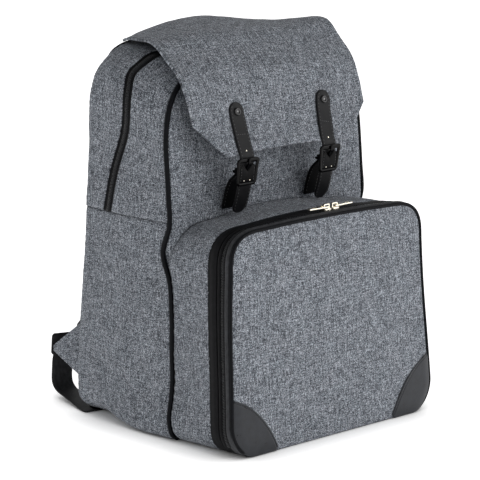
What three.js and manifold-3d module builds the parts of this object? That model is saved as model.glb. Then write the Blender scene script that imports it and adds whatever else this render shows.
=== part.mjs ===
// Picnic backpack in millimetres, +Z up. It stands on its base at Z = 0 and faces -Y.
// The heights below count from the lower edge of the case's front panel; the base is BASE_Z under it,
// and the finished group is lifted so that the base stands at Z = 0.
// Every soft wall is a thin closed shell, so the body and the front case are hollow.
import * as THREE from 'three';
import ManifoldModule from 'manifold-3d';
import { mergeVertices } from 'three/addons/utils/BufferGeometryUtils.js';

const wasm = await ManifoldModule();
wasm.setup();

// Driving dimensions
const GAP = 0.4;
const CLOTH = 2.0;
const TAPE = 1.4;
const PIPING_RADIUS = 2.2;
const PIPING_SIDES = 6;
const PIPING_PROUD = 1.2;
const PIPING_SINK = 0.2;
const PANEL_INSET = 5.4;
const PANEL_THICKNESS = 3.0;
const BACK_PAD_THICKNESS = 7.0;
const SEAM_Z = 233;
const BASE_Z = -4.5;

// Outlines of the body and of the case, seen from the front, as half widths and heights
const BODY_FRONT = {
  halfBottom: 148, halfTop: 145, cornerX: 10, cornerZ: 10, seamZ: SEAM_Z,
  shoulderZ: 300, shoulderX: 70, shoulderRise: 88, apexZ: 397, power: 2.4,
};
const BODY_REAR = {
  halfBottom: 150, halfTop: 148, cornerX: 40, cornerZ: 32, seamZ: SEAM_Z,
  shoulderZ: 316, shoulderX: 68, shoulderRise: 94, apexZ: 425, power: 2.4,
};
const CASE_FRONT = {
  halfBottom: 150.5, halfTop: 142.5, cornerX: 31, cornerZ: 36, seamZ: 110,
  shoulderZ: 192, shoulderX: 48, shoulderRise: 43, apexZ: 236.5, power: 2.2,
};
const CASE_REAR = {
  halfBottom: 147, halfTop: 145, cornerX: 14, cornerZ: 14, seamZ: 100,
  shoulderZ: 176, shoulderX: 60, shoulderRise: 54, apexZ: 238.5, power: 2.6,
};

// Steps along one half of an outline: base, lower corner, lower side, upper side, shoulder, top
const SEGMENT_STEPS = [1, 4, 6, 3, 7, 3];
const OUTLINE_END = SEGMENT_STEPS.length;
const CORNER_START = 1;
const CORNER_END = 2;
const PROUD_FROM = 1.4;
const SEAM = 3;
const PANEL_TOP = 5.9;

// Depth of the body's front and back edges at each height
const BODY_FRONT_EDGE = [
  { z: 0, y: -21 }, { z: 40, y: -17 }, { z: 133, y: -19 }, { z: 170, y: -15 }, { z: 198, y: -4.5 },
  { z: 230, y: -15 }, { z: 262, y: -13 }, { z: 310, y: -9 }, { z: 350, y: -5 }, { z: 380, y: 1 },
  { z: 397, y: 8 },
];
const BODY_BACK_EDGE = [
  { z: 0, y: 139 }, { z: 32, y: 140 }, { z: 99, y: 135 }, { z: 158, y: 128 }, { z: 232, y: 121 },
  { z: 316, y: 115 }, { z: 380, y: 111 }, { z: 430, y: 108 },
];
// The front panel follows the front edge without the edge's dent above the case
const FRONT_PANEL_DEPTH = [
  { z: 0, y: -21 }, { z: 133, y: -18 }, { z: 230, y: -16 }, { z: 310, y: -11 }, { z: 350, y: -5 },
  { z: 397, y: 8 },
];
const EDGE_BLEND_START = 0.93;
// The walls swell between the front and back edges: how much, and where along the outline
const SHOULDER_SWELL = { amount: 13, from: 4.0, full: 4.45, fade: 4.65, end: 5.2 };
const SIDE_SWELL = { amount: 5, from: 1.5, full: 2.0, fade: 3.0, end: 4.0 };
// The lower corners stay tight at the front and turn soft towards the back
const CORNER_SOFTENS = { from: 0.3, to: 0.8 };

// Broad folds pressed into the lower sides: depth along the gusset, height, reach and depth of the dent
const SIDE_FOLDS = [
  { across: 0.16, z: 172, reachAcross: 0.10, reachZ: 16, depth: 4.0 },
  { across: 0.45, z: 60, reachAcross: 0.30, reachZ: 40, depth: 2.0 },
  { across: 0.80, z: 190, reachAcross: 0.16, reachZ: 26, depth: 2.5 },
];

// Main zip: its place across the gusset at each height
const MAIN_ZIP_PATH = [
  { z: 233, t: 0.69 }, { z: 284, t: 0.62 }, { z: 339, t: 0.475 }, { z: 372, t: 0.42 }, { z: 430, t: 0.4 },
];
const MAIN_ZIP_WIDTH = 19;
const MAIN_ZIP_GAUGE_T = 0.55;
const SEAM_SLIT = 0.004;
const CHAIN_WIDTH = 5.4;
const CHAIN_PROUD = 0.6;
const TAPE_RECESS = 0.8;

// Front case
const CASE_DEPTH = 100;
const CASE_FRONT_Y = -120;
const CASE_LEAN = 12.4 / 235;
const CASE_BULGE = { amount: 4, half: 150, centreZ: 118, reachZ: 118 };
const CASE_ZIP_END = 0.7;
const CASE_HINGE_CLEAR = 6;
const CASE_FRONT_TAPE = { from: 2.3, to: 8.6 };
const CASE_CHAIN = { from: 9.0, to: 14.4 };
const CASE_REAR_TAPE = { from: 14.8, to: 34.5 };
const CASE_GUSSET_FROM = 34.9;
const CASE_JOIN_GAP = 0.85;

// Corner patches: reach up the side and along the base, and how far the free edge bows out
const PATCH = {
  sideZ: 60, baseX: 87, bowX: 109, bowZ: 47, thickness: 1.2, endWidth: 3, edgeClear: 0.6, steps: 9,
};
// Shares of the patch's outer edge: down the side, round the corner, the rest along the base
const PATCH_SIDE_SHARE = 0.4;
const PATCH_CORNER_SHARE = 0.4;

// Flap, from its seam along the back arch to its lower edge: centre line, drop at the sides, half width
const FLAP_ROWS = [
  { y: 109, z: 429.4, drop: 21.5, half: 108 },
  { y: 86, z: 430, drop: 14, half: 117 },
  { y: 58, z: 427.5, drop: 9, half: 123 },
  { y: 28, z: 421, drop: 5, half: 128 },
  { y: 9, z: 406, drop: 3, half: 128.5 },
  { y: -12, z: 386, drop: 1, half: 128 },
  { y: -24, z: 362, drop: 0, half: 127 },
  { y: -33, z: 336, drop: 0, half: 126 },
  { y: -47, z: 304, drop: 3, half: 90 },
];
// The right rear corner of the flap stands up
const FLAP_CURL = { height: 6.5, from: 0.6, v: 0.36, reach: 0.14 };
const FLAP_THICKNESS = 2.5;
const FLAP_STEPS_PER_ROW = 2;
const FLAP_COLUMNS = 8;

// Buckled straps
// Each strap's place across the bag at its rivet and from the flap's edge down
const STRAPS = {
  left: { topX: -63.3, lowX: -65.6 },
  right: { topX: 67, lowX: 56.2 },
};
const STRAP_WIDTH = 20;
const STRAP_THICKNESS = 2.2;
const STRAP_TOP_ON_FLAP = 0.79;
const STRAP_LEAVES_FLAP = 0.99;
const STRAP_ON_FLAP_U = 0.55;
const STRAP_END_FLAT = 1.2;
const STRAP_TAIL = [{ y: -40.5, z: 250 }, { y: -34.5, z: 237 }];
const BUCKLE_CENTRE = { y: -47.4, z: 283 };
const BUCKLE_LEAN = Math.atan2(2.5, 18);
const BUCKLE = {
  topWidth: 31, baseWidth: 27, height: 30, bar: 3.6, holeWidth: 22.6, holeCorner: 1.2, thick: 2.6, corner: 3,
};
const BUCKLE_REACH = 0.55;
const BUCKLE_BAR = { out: -4.8, size: 3.0, lugWidth: 2.4, lugSink: 1.0, bite: 0.1, clearance: 0.35 };
const PRONG = {
  width: 2.8, slotWidth: 3.6, slotBelow: 3.6, slotAbove: 6.6, wall: 1.05, thick: 1.4, overhang: 0.5,
};
const CHAPE_WIDTH = 18;
const CHAPE_SLOT = { length: 12, depth: 14, up: 2.5 };
// Chape profile: distance up the strap, distance out of the bag, half thickness
const CHAPE_ROWS = [
  { up: 3.6, out: -4.8, half: 2.0 }, { up: 1.9, out: -4.8, half: 3.3 }, { up: -2.4, out: -4.8, half: 3.3 },
  { up: -8, out: -5.6, half: 1.8 }, { up: -20, out: -10, half: 1.7 }, { up: -31, out: -14.8, half: 1.7 },
  { up: -40, out: -18.8, half: 1.6 }, { up: -46.5, out: -21.2, half: 1.5 },
];
const RIVET = { radius: 4.6, height: 2.0, below: 0.04, sides: 12 };

// Zip sliders on the case and their pulls
const SLIDER = {
  length: 10, width: 9, height: 3.2, corner: 2.4,
  bridgeReach: 4, bridgeWall: 1.2, bridgeWidth: 2.6, bridgeRise: 4.4, bridgeSink: 1, bridgeCorner: 0.9,
  eyeCorner: 0.6,
};
const SLIDER_OFFSETS = { left: 7, right: 19 };
const PULL = {
  bar: 1.3, eyeLength: 6.6, eyeWidth: 4.4, eyeCorner: 0.5, plateWidth: 7, taper: 1, corner: 0.6,
  length: 26, thick: 1.3, pivotRise: 1.3, slotLength: 7, slotWidth: 3, slotFromEnd: 7, slotCorner: 1.2,
};

// Shoulder straps at the back: half side only, x counts outwards
const SHOULDER_ROWS = [
  { x: 40, y: 118.1, z: 393, width: 56 },
  { x: 42, y: 130, z: 380, width: 60 },
  { x: 47, y: 152, z: 345, width: 62 },
  { x: 54, y: 166, z: 285, width: 62 },
  { x: 58, y: 172, z: 220, width: 58 },
  { x: 59, y: 176, z: 160, width: 50 },
  { x: 61, y: 181, z: 118, width: 40 },
  { x: 68.5, y: 185.2, z: 97, width: 33 },
  { x: 76.5, y: 188, z: 85, width: 30 },
];
const SHOULDER_THICKNESS = 10;
const SHOULDER_CROWN = 0.55;
const SHOULDER_STEPS = 16;
const SHOULDER_TILT = { from: 0.6, angle: 0.75 };
const WEBBING_WIDTH = 25;
const WEBBING_THICKNESS = 1.6;
const WEBBING_STEPS = 6;
const LOCK = {
  width: 34, length: 24, thick: 4.5, corner: 3, slotWidth: 27, slotLength: 4.5, slotPlace: 6, slotCorner: 1,
  x: 86.3, y: 190, z: 73,
};
const WEBBING_ROUTE = [
  { x: 97.3, y: 191.5, z: 62.1 }, { x: 103.7, y: 192.4, z: 58.6 }, { x: 118, y: 193.8, z: 57.6 },
  { x: 140, y: 195.6, z: 57.6 },
];
// The free end of the webbing hangs, bends and lies on the floor
const TAIL_ROUTE = [
  { x: 92.5, y: 198.6, z: 60 }, { x: 107, y: 200.6, z: 54 }, { x: 118, y: 201.2, z: 41 },
  { x: 122.5, y: 200.6, z: 22 }, { x: 123, y: 196.6, z: 10.5 }, { x: 125, y: 186, z: 4 },
  { x: 128.5, y: 170, z: -1.4 }, { x: 134, y: 151, z: -3.4 }, { x: 139.8, y: 131, z: -3.5 },
];
const TAIL_ACROSS = { x: 0.95, y: 0.3 };
const TAIL_STEPS = 22;
const TAB = {
  x: 148.5, topZ: 96, lowZ: 36, tipX: 138, tipY: 194, tipZ: 56, tipHeight: 6, thickness: 2.6,
  steps: 5, columns: 3,
};

// Materials
const looks = {
  cloth: { color: 0x787b80, roughness: 0.95, metalness: 0 },
  black_cloth: { color: 0x17181a, roughness: 0.85, metalness: 0 },
  piping: { color: 0x141416, roughness: 0.6, metalness: 0 },
  strap_leather: { color: 0x1b1b1c, roughness: 0.5, metalness: 0 },
  patch_leather: { color: 0x34363a, roughness: 0.55, metalness: 0 },
  black_metal: { color: 0x101012, roughness: 0.35, metalness: 0.8 },
  bright_metal: { color: 0xc9c4b4, roughness: 0.25, metalness: 1 },
  black_plastic: { color: 0x151516, roughness: 0.45, metalness: 0 },
};

const bag = new THREE.Group();

function addPiece(name, geometry, look, parent = bag) {
  const mesh = new THREE.Mesh(geometry, new THREE.MeshStandardMaterial(looks[look]));
  mesh.name = name;
  parent.add(mesh);
  return mesh;
}

// Small helpers
const lerp = (a, b, f) => a + (b - a) * f;
const clamp01 = (f) => Math.min(1, Math.max(0, f));
const smooth = (from, to, value) => {
  const f = clamp01((value - from) / (to - from));
  return f * f * (3 - 2 * f);
};
const bell = (offset, reach) => Math.exp(-((offset / reach) ** 2));
const steps = (from, to, count) => Array.from({ length: count + 1 }, (_, i) => lerp(from, to, i / count));
const vector = (x, y, z) => new THREE.Vector3(x, y, z);

function tableAt(table, key, column, value) {
  const next = table.findIndex((row) => row[key] >= value);
  if (next === 0) return table[0][column];
  if (next < 0) return table[table.length - 1][column];
  const low = table[next - 1];
  const high = table[next];
  return lerp(low[column], high[column], (value - low[key]) / (high[key] - low[key]));
}

function mixRows(a, b, f) {
  return Object.fromEntries(Object.keys(a).map((key) => [key, lerp(a[key], b[key], f)]));
}

// One half of an outline: h counts base, corner, lower side, upper side, shoulder and top, one unit each
function outlinePoint(row, h) {
  const segment = Math.min(Math.floor(h), OUTLINE_END - 1);
  const f = h - segment;
  const quarter = f * Math.PI / 2;
  const flatHalf = row.halfBottom - row.cornerX;
  const sideZ = BASE_Z + row.cornerZ;
  const sideHalf = (z) => lerp(row.halfBottom, row.halfTop, (z - sideZ) / (row.shoulderZ - sideZ));
  const topHalf = row.halfTop - row.shoulderX;
  const topZ = row.shoulderZ + row.shoulderRise;
  if (segment === 0) return { x: flatHalf * f, z: BASE_Z };
  if (segment === 1) {
    const rise = row.cornerZ * (1 - Math.cos(quarter));
    return { x: flatHalf + row.cornerX * Math.sin(quarter), z: BASE_Z + rise };
  }
  if (segment === 2) {
    const z = lerp(sideZ, row.seamZ, f);
    return { x: sideHalf(z), z };
  }
  if (segment === 3) {
    const z = lerp(row.seamZ, row.shoulderZ, f);
    return { x: sideHalf(z), z };
  }
  if (segment === 4) {
    const along = Math.max(0, Math.cos(quarter)) ** (2 / row.power);
    const rise = Math.sin(quarter) ** (2 / row.power);
    return { x: topHalf + row.shoulderX * along, z: row.shoulderZ + row.shoulderRise * rise };
  }
  const x = topHalf * (1 - f);
  return { x, z: row.apexZ - (row.apexZ - topZ) * (x / topHalf) ** 2 };
}

function outlineNormal(row, h) {
  const before = outlinePoint(row, Math.max(0, h - 0.02));
  const after = outlinePoint(row, Math.min(OUTLINE_END, h + 0.02));
  const length = Math.hypot(after.x - before.x, after.z - before.z);
  return { x: (after.z - before.z) / length, z: -(after.x - before.x) / length };
}

// Nothing stands proud under the base, so the bag rests on flat cloth
const proudAt = (h, amount) => amount * smooth(PROUD_FROM, CORNER_END, h);

function halfSteps(from, to) {
  const values = SEGMENT_STEPS.flatMap((count, segment) => steps(segment, segment + 1, count).slice(0, -1));
  return [from, ...values.filter((h) => h > from + 1e-6 && h < to - 1e-6), to];
}

// Left side up, right side down, sharing the point at the top
function archWalk(from) {
  const half = halfSteps(from, OUTLINE_END);
  const left = half.map((h) => ({ side: -1, h }));
  const right = half.slice(0, -1).reverse().map((h) => ({ side: 1, h }));
  return [...left, ...right];
}

// Left side down, across the base, right side up
function cradleWalk(top) {
  const half = halfSteps(CORNER_START, top);
  const left = half.slice().reverse().map((h) => ({ side: -1, h }));
  const right = half.map((h) => ({ side: 1, h }));
  return [...left, ...right];
}

const swellAt = (swell, h) => smooth(swell.from, swell.full, h) * (1 - smooth(swell.fade, swell.end, h));

function bodyRow(t) {
  const soft = smooth(CORNER_SOFTENS.from, CORNER_SOFTENS.to, t);
  const row = mixRows(BODY_FRONT, BODY_REAR, t);
  const cornerX = lerp(BODY_FRONT.cornerX, BODY_REAR.cornerX, soft);
  const cornerZ = lerp(BODY_FRONT.cornerZ, BODY_REAR.cornerZ, soft);
  return { ...row, cornerX, cornerZ };
}

// Body walls: side is -1 or 1, h runs along the outline, t from the front edge to the back edge
function bodyPoint({ side, h }, t, inset) {
  const row = bodyRow(t);
  const point = outlinePoint(row, h);
  const normal = outlineNormal(row, h);
  const middle = 4 * t * (1 - t);
  const sides = swellAt(SIDE_SWELL, h);
  const swell = SHOULDER_SWELL.amount * swellAt(SHOULDER_SWELL, h) + SIDE_SWELL.amount * sides;
  const folds = SIDE_FOLDS.reduce((sum, fold) => sum
    + fold.depth * bell(t - fold.across, fold.reachAcross) * bell(point.z - fold.z, fold.reachZ), 0);
  const lift = middle * swell - folds * sides - inset;
  const front = tableAt(BODY_FRONT_EDGE, 'z', 'y', outlinePoint(BODY_FRONT, h).z);
  const back = tableAt(BODY_BACK_EDGE, 'z', 'y', outlinePoint(BODY_REAR, h).z);
  return vector(side * (point.x + normal.x * lift), lerp(front, back, t), point.z + normal.z * lift);
}

function bodyFrontY(x, z, half) {
  const blend = clamp01((Math.abs(x) / half - EDGE_BLEND_START) / (1 - EDGE_BLEND_START));
  return lerp(tableAt(FRONT_PANEL_DEPTH, 'z', 'y', z), tableAt(BODY_FRONT_EDGE, 'z', 'y', z), blend);
}

// Case walls: d counts back from the front edge
const caseFrontY = (z) => CASE_FRONT_Y + CASE_LEAN * z;

function casePoint({ side, h }, d, inset) {
  const row = mixRows(CASE_FRONT, CASE_REAR, clamp01(d / CASE_DEPTH));
  const point = outlinePoint(row, h);
  const normal = outlineNormal(row, h);
  const x = side * (point.x - normal.x * inset);
  const z = point.z - normal.z * inset;
  return vector(x, caseFrontY(point.z) + d, z);
}

const casePanelBulge = (x, z) => CASE_BULGE.amount * clamp01(1 - (x / CASE_BULGE.half) ** 2)
  * clamp01(1 - ((z - CASE_BULGE.centreZ) / CASE_BULGE.reachZ) ** 2);

// Closed solid between two surfaces over the same grid of u and v
function shell(outer, inner, us, vs, closed = false) {
  const positions = [];
  const faces = [];
  const rows = us.length;
  const columns = vs.length;
  const at = (layer, i, j) => (layer * rows + (i % rows)) * columns + j;
  [outer, inner].forEach((surface) => {
    us.forEach((u) => vs.forEach((v) => positions.push(...surface(u, v).toArray())));
  });
  const quad = (a, b, c, d) => faces.push(a, b, c, a, c, d);
  const spans = closed ? rows : rows - 1;
  for (let i = 0; i < spans; i += 1) {
    for (let j = 0; j < columns - 1; j += 1) {
      quad(at(0, i, j), at(0, i + 1, j), at(0, i + 1, j + 1), at(0, i, j + 1));
      quad(at(1, i, j), at(1, i, j + 1), at(1, i + 1, j + 1), at(1, i + 1, j));
    }
    quad(at(0, i, 0), at(1, i, 0), at(1, i + 1, 0), at(0, i + 1, 0));
    const last = columns - 1;
    quad(at(0, i, last), at(0, i + 1, last), at(1, i + 1, last), at(1, i, last));
  }
  if (!closed) {
    for (let j = 0; j < columns - 1; j += 1) {
      quad(at(0, 0, j), at(0, 0, j + 1), at(1, 0, j + 1), at(1, 0, j));
      quad(at(0, rows - 1, j), at(1, rows - 1, j), at(1, rows - 1, j + 1), at(0, rows - 1, j + 1));
    }
  }
  return outward(positions, faces);
}

// Turns every face outwards, judged by the sign of the enclosed volume
function outward(positions, faces) {
  let volume = 0;
  const corner = (index) => new THREE.Vector3().fromArray(positions, index * 3);
  for (let i = 0; i < faces.length; i += 3) {
    volume += corner(faces[i]).dot(corner(faces[i + 1]).cross(corner(faces[i + 2])));
  }
  const turned = volume > 0 ? faces : faces.slice().reverse();
  const geometry = new THREE.BufferGeometry();
  geometry.setAttribute('position', new THREE.Float32BufferAttribute(positions, 3));
  geometry.setIndex(turned);
  return geometry;
}

// Round cord along a closed walk; each ring lies across the wall and along Y
function pipingLoop(walk, centreAt, normalAt) {
  const positions = [];
  const faces = [];
  walk.forEach((place) => {
    const centre = centreAt(place);
    const normal = normalAt(place);
    steps(0, 2 * Math.PI, PIPING_SIDES).slice(0, -1).forEach((angle) => {
      const reach = PIPING_RADIUS * Math.cos(angle);
      const y = centre.y + PIPING_RADIUS * Math.sin(angle);
      positions.push(centre.x + normal.x * reach, y, centre.z + normal.z * reach);
    });
  });
  const at = (ring, k) => (ring % walk.length) * PIPING_SIDES + (k % PIPING_SIDES);
  walk.forEach((_, ring) => {
    for (let k = 0; k < PIPING_SIDES; k += 1) {
      faces.push(at(ring, k), at(ring + 1, k), at(ring + 1, k + 1));
      faces.push(at(ring, k), at(ring + 1, k + 1), at(ring, k + 1));
    }
  });
  return outward(positions, faces);
}

// Flat band along a route: across gives its width direction, width and thickness may change along it
function band(route, across, widthAt, thickness, columns = 1, crown = 0) {
  const last = route.length - 1;
  const tangent = (i) => route[Math.min(i + 1, last)].clone().sub(route[Math.max(i - 1, 0)]).normalize();
  const frames = route.map((centre, i) => {
    const along = tangent(i);
    const side = across(i).clone().addScaledVector(along, -across(i).dot(along)).normalize();
    return { centre, side, normal: along.clone().cross(side).normalize() };
  });
  const surface = (sign) => (i, u) => {
    const { centre, side, normal } = frames[i];
    const half = thickness / 2 * (1 - crown * u * u);
    return centre.clone().addScaledVector(side, u * widthAt(i) / 2).addScaledVector(normal, sign * half);
  };
  return shell(surface(1), surface(-1), route.map((_, i) => i), steps(-1, 1, columns));
}

function curveRoute(rows, count) {
  const curve = new THREE.CatmullRomCurve3(rows.map((row) => vector(row.x, row.y, row.z)));
  return curve.getSpacedPoints(count);
}

const pipingInset = (h) => PIPING_RADIUS + PIPING_SINK - proudAt(h, PIPING_PROUD);
const sidedNormal = (row) => (place) => {
  const normal = outlineNormal(row, place.h);
  return { x: place.side * normal.x, z: normal.z };
};

// Joining and cutting
function toManifold(geometry) {
  const bare = geometry.clone();
  bare.deleteAttribute('normal');
  bare.deleteAttribute('uv');
  const merged = mergeVertices(bare, 1e-4);
  return new wasm.Manifold(new wasm.Mesh({
    numProp: 3,
    vertProperties: new Float32Array(merged.attributes.position.array),
    triVerts: new Uint32Array(merged.index.array),
  }));
}

function toGeometry(manifold) {
  const mesh = manifold.getMesh();
  const geometry = new THREE.BufferGeometry();
  geometry.setAttribute('position', new THREE.Float32BufferAttribute(mesh.vertProperties, 3));
  geometry.setIndex(Array.from(mesh.triVerts));
  return geometry;
}

function join(...geometries) {
  return toGeometry(geometries.map(toManifold).reduce((sum, next) => sum.add(next)));
}

const cut = (geometry, tool) => toGeometry(toManifold(geometry).subtract(toManifold(tool)));

function block(width, depth, height, x, y, z) {
  return new THREE.BoxGeometry(width, depth, height).translate(x, y, z);
}

function roundedShape(points, radius) {
  const shape = new THREE.Shape();
  points.forEach((point, i) => {
    const before = points[(i + points.length - 1) % points.length];
    const after = points[(i + 1) % points.length];
    const start = point.clone().add(before.clone().sub(point).setLength(radius));
    const end = point.clone().add(after.clone().sub(point).setLength(radius));
    if (i === 0) shape.moveTo(start.x, start.y);
    else shape.lineTo(start.x, start.y);
    shape.quadraticCurveTo(point.x, point.y, end.x, end.y);
  });
  shape.closePath();
  return shape;
}

const flat = (x, y) => new THREE.Vector2(x, y);
const boxPoints = (left, right, low, high) => [
  flat(left, low), flat(right, low), flat(right, high), flat(left, high),
];
function roundedBox(width, height, radius, x = 0, y = 0) {
  return roundedShape(boxPoints(x - width / 2, x + width / 2, y - height / 2, y + height / 2), radius);
}
const extrude = (shape, depth, curveSegments = 3) => new THREE.ExtrudeGeometry(shape, {
  depth, bevelEnabled: false, curveSegments, steps: 1,
});

// Main body
function bodyDepth(h) {
  return bodyPoint({ side: 1, h }, 1, 0).y - bodyPoint({ side: 1, h }, 0, 0).y;
}

const edgeShare = (h) => (PIPING_RADIUS + GAP) / bodyDepth(h);

function bodyStrip(walk, fromAt, toAt, columns, inset, thickness) {
  const surface = (extra) => (place, f) => {
    const t = lerp(fromAt(place.h), toAt(place.h), f);
    return bodyPoint(place, t, inset + extra);
  };
  return shell(surface(0), surface(thickness), walk, steps(0, 1, columns));
}

function mainZipBounds(h) {
  const centre = tableAt(MAIN_ZIP_PATH, 'z', 't', bodyPoint({ side: 1, h }, MAIN_ZIP_GAUGE_T, 0).z);
  const unit = 1 / bodyDepth(h);
  const chainHalf = CHAIN_WIDTH / 2 * unit;
  const half = MAIN_ZIP_WIDTH / 2 * unit;
  const gap = GAP * unit;
  return {
    gussetFront: centre - half - gap,
    tapeFront: centre - half,
    tapeFrontEnd: centre - chainHalf - gap,
    chainFront: centre - chainHalf,
    chainRear: centre + chainHalf,
    tapeRearStart: centre + chainHalf + gap,
    tapeRear: centre + half,
    gussetRear: centre + half + gap,
  };
}

function bodyPiping(t) {
  const row = t === 0 ? BODY_FRONT : BODY_REAR;
  const centreAt = (place) => bodyPoint(place, t, pipingInset(place.h));
  return pipingLoop(archWalk(CORNER_START), centreAt, sidedNormal(row));
}

// Panel made of level rows between the two sides of an outline
function levelPanel(row, depthAt, bulgeAt, thickness, columns) {
  const rows = halfSteps(CORNER_START, PANEL_TOP);
  const surface = (offset) => (h, f) => {
    const point = outlinePoint(row, h);
    const normal = outlineNormal(row, h);
    const half = point.x - normal.x * PANEL_INSET;
    const x = half * f;
    const z = point.z - normal.z * PANEL_INSET;
    return vector(x, depthAt(x, z, point) + bulgeAt(x, z) + offset, z);
  };
  return shell(surface(-thickness / 2), surface(thickness / 2), rows, columns);
}

function addBody() {
  const upper = archWalk(SEAM + SEAM_SLIT);
  const flatFront = () => 0;
  const frontDepth = (x, z, point) => bodyFrontY(x, z, point.x);
  const backDepth = (x, z) => tableAt(BODY_BACK_EDGE, 'z', 'y', z);
  const frontColumns = [-1, -0.965, -0.5, 0, 0.5, 0.965, 1];
  const backColumns = steps(-1, 1, 4);
  const bound = (name) => (h) => mainZipBounds(h)[name];
  const rearEnd = (h) => 1 - edgeShare(h);
  const strip = (...settings) => bodyStrip(upper, ...settings);

  const frontPanel = levelPanel(BODY_FRONT, frontDepth, flatFront, PANEL_THICKNESS, frontColumns);
  const backPanel = levelPanel(BODY_REAR, backDepth, flatFront, BACK_PAD_THICKNESS, backColumns);
  addPiece('front_panel', frontPanel, 'cloth');
  addPiece('back_panel', backPanel, 'cloth');
  addPiece('body_piping', bodyPiping(0), 'piping');
  addPiece('back_piping', bodyPiping(1), 'piping');
  addPiece('lower_gusset', bodyStrip(cradleWalk(SEAM), edgeShare, rearEnd, 6, 0, CLOTH), 'cloth');
  addPiece('gusset_front', strip(edgeShare, bound('gussetFront'), 2, 0, CLOTH), 'cloth');
  addPiece('gusset_rear', strip(bound('gussetRear'), rearEnd, 2, 0, CLOTH), 'cloth');
  const frontTape = strip(bound('tapeFront'), bound('tapeFrontEnd'), 1, TAPE_RECESS, TAPE);
  const chain = strip(bound('chainFront'), bound('chainRear'), 1, -CHAIN_PROUD, TAPE + CHAIN_PROUD);
  const rearTape = strip(bound('tapeRearStart'), bound('tapeRear'), 1, TAPE_RECESS, TAPE);
  addPiece('main_zip_front_tape', frontTape, 'black_cloth');
  addPiece('main_zip_chain', chain, 'black_cloth');
  addPiece('main_zip_rear_tape', rearTape, 'black_cloth');
}

// Front case
function caseStrip(walk, fromAt, toAt, columns, inset, thickness, closed) {
  const surface = (extra) => (place, f) => {
    const d = lerp(fromAt(place), toAt(place), f);
    return casePoint(place, d, inset(place.h) + extra);
  };
  return shell(surface(0), surface(thickness), walk, steps(0, 1, columns), closed);
}

// Where the case wall meets the body: against the front panel, and just before the piping at the sides
function caseJoinDepth(place) {
  const half = outlinePoint(CASE_REAR, 2.5).x + 1;
  const joins = [0, CLOTH].map((inset) => {
    const point = casePoint(place, CASE_DEPTH, inset);
    const nearEdge = clamp01((Math.abs(point.x) / half - EDGE_BLEND_START) / (1 - EDGE_BLEND_START));
    const clear = PANEL_THICKNESS / 2 + lerp(CASE_JOIN_GAP, PIPING_RADIUS, nearEdge);
    return bodyFrontY(point.x, point.z, half) - clear - caseFrontY(point.z);
  });
  return Math.min(...joins);
}

function addCase() {
  const zipWalk = archWalk(CASE_ZIP_END);
  const ring = archWalk(CORNER_START);
  const none = () => 0;
  const recess = (h) => proudAt(h, TAPE_RECESS);
  const chainProud = (h) => -proudAt(h, CHAIN_PROUD);
  const fixed = (d) => () => d;
  const strip = (limits, inset, thickness) => caseStrip(zipWalk, fixed(limits.from), fixed(limits.to), 1,
    inset, thickness);
  const gusset = caseStrip(ring, fixed(CASE_GUSSET_FROM), caseJoinDepth, 2, none, CLOTH, true);
  addPiece('case_gusset', gusset, 'cloth');
  addPiece('case_zip_rear_tape', strip(CASE_REAR_TAPE, recess, TAPE), 'black_cloth');
  addPiece('case_zip_chain', strip(CASE_CHAIN, chainProud, TAPE + CHAIN_PROUD), 'black_cloth');
  addPiece('case_zip_front_tape', strip(CASE_FRONT_TAPE, recess, TAPE), 'black_cloth');
  const pipingCentre = (place) => casePoint(place, 0, pipingInset(place.h));
  addPiece('case_piping', pipingLoop(ring, pipingCentre, sidedNormal(CASE_FRONT)), 'piping');

  const hingeHalf = outlinePoint(CASE_FRONT, CASE_ZIP_END).x - CASE_HINGE_CLEAR;
  const hingeFace = (z) => (u, d) => vector(u * hingeHalf, caseFrontY(BASE_Z) + d, BASE_Z + z);
  const hingeDepths = [CASE_FRONT_TAPE.from, CASE_REAR_TAPE.to];
  addPiece('case_hinge', shell(hingeFace(0), hingeFace(CLOTH), [-1, 1], hingeDepths), 'cloth');

  const panelDepth = (x, z, point) => caseFrontY(point.z);
  const panelBulge = (x, z) => -casePanelBulge(x, z);
  const columns = steps(-1, 1, 6);
  const panel = levelPanel(CASE_FRONT, panelDepth, panelBulge, PANEL_THICKNESS, columns);
  addPiece('case_front_panel', panel, 'cloth');
}

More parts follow.
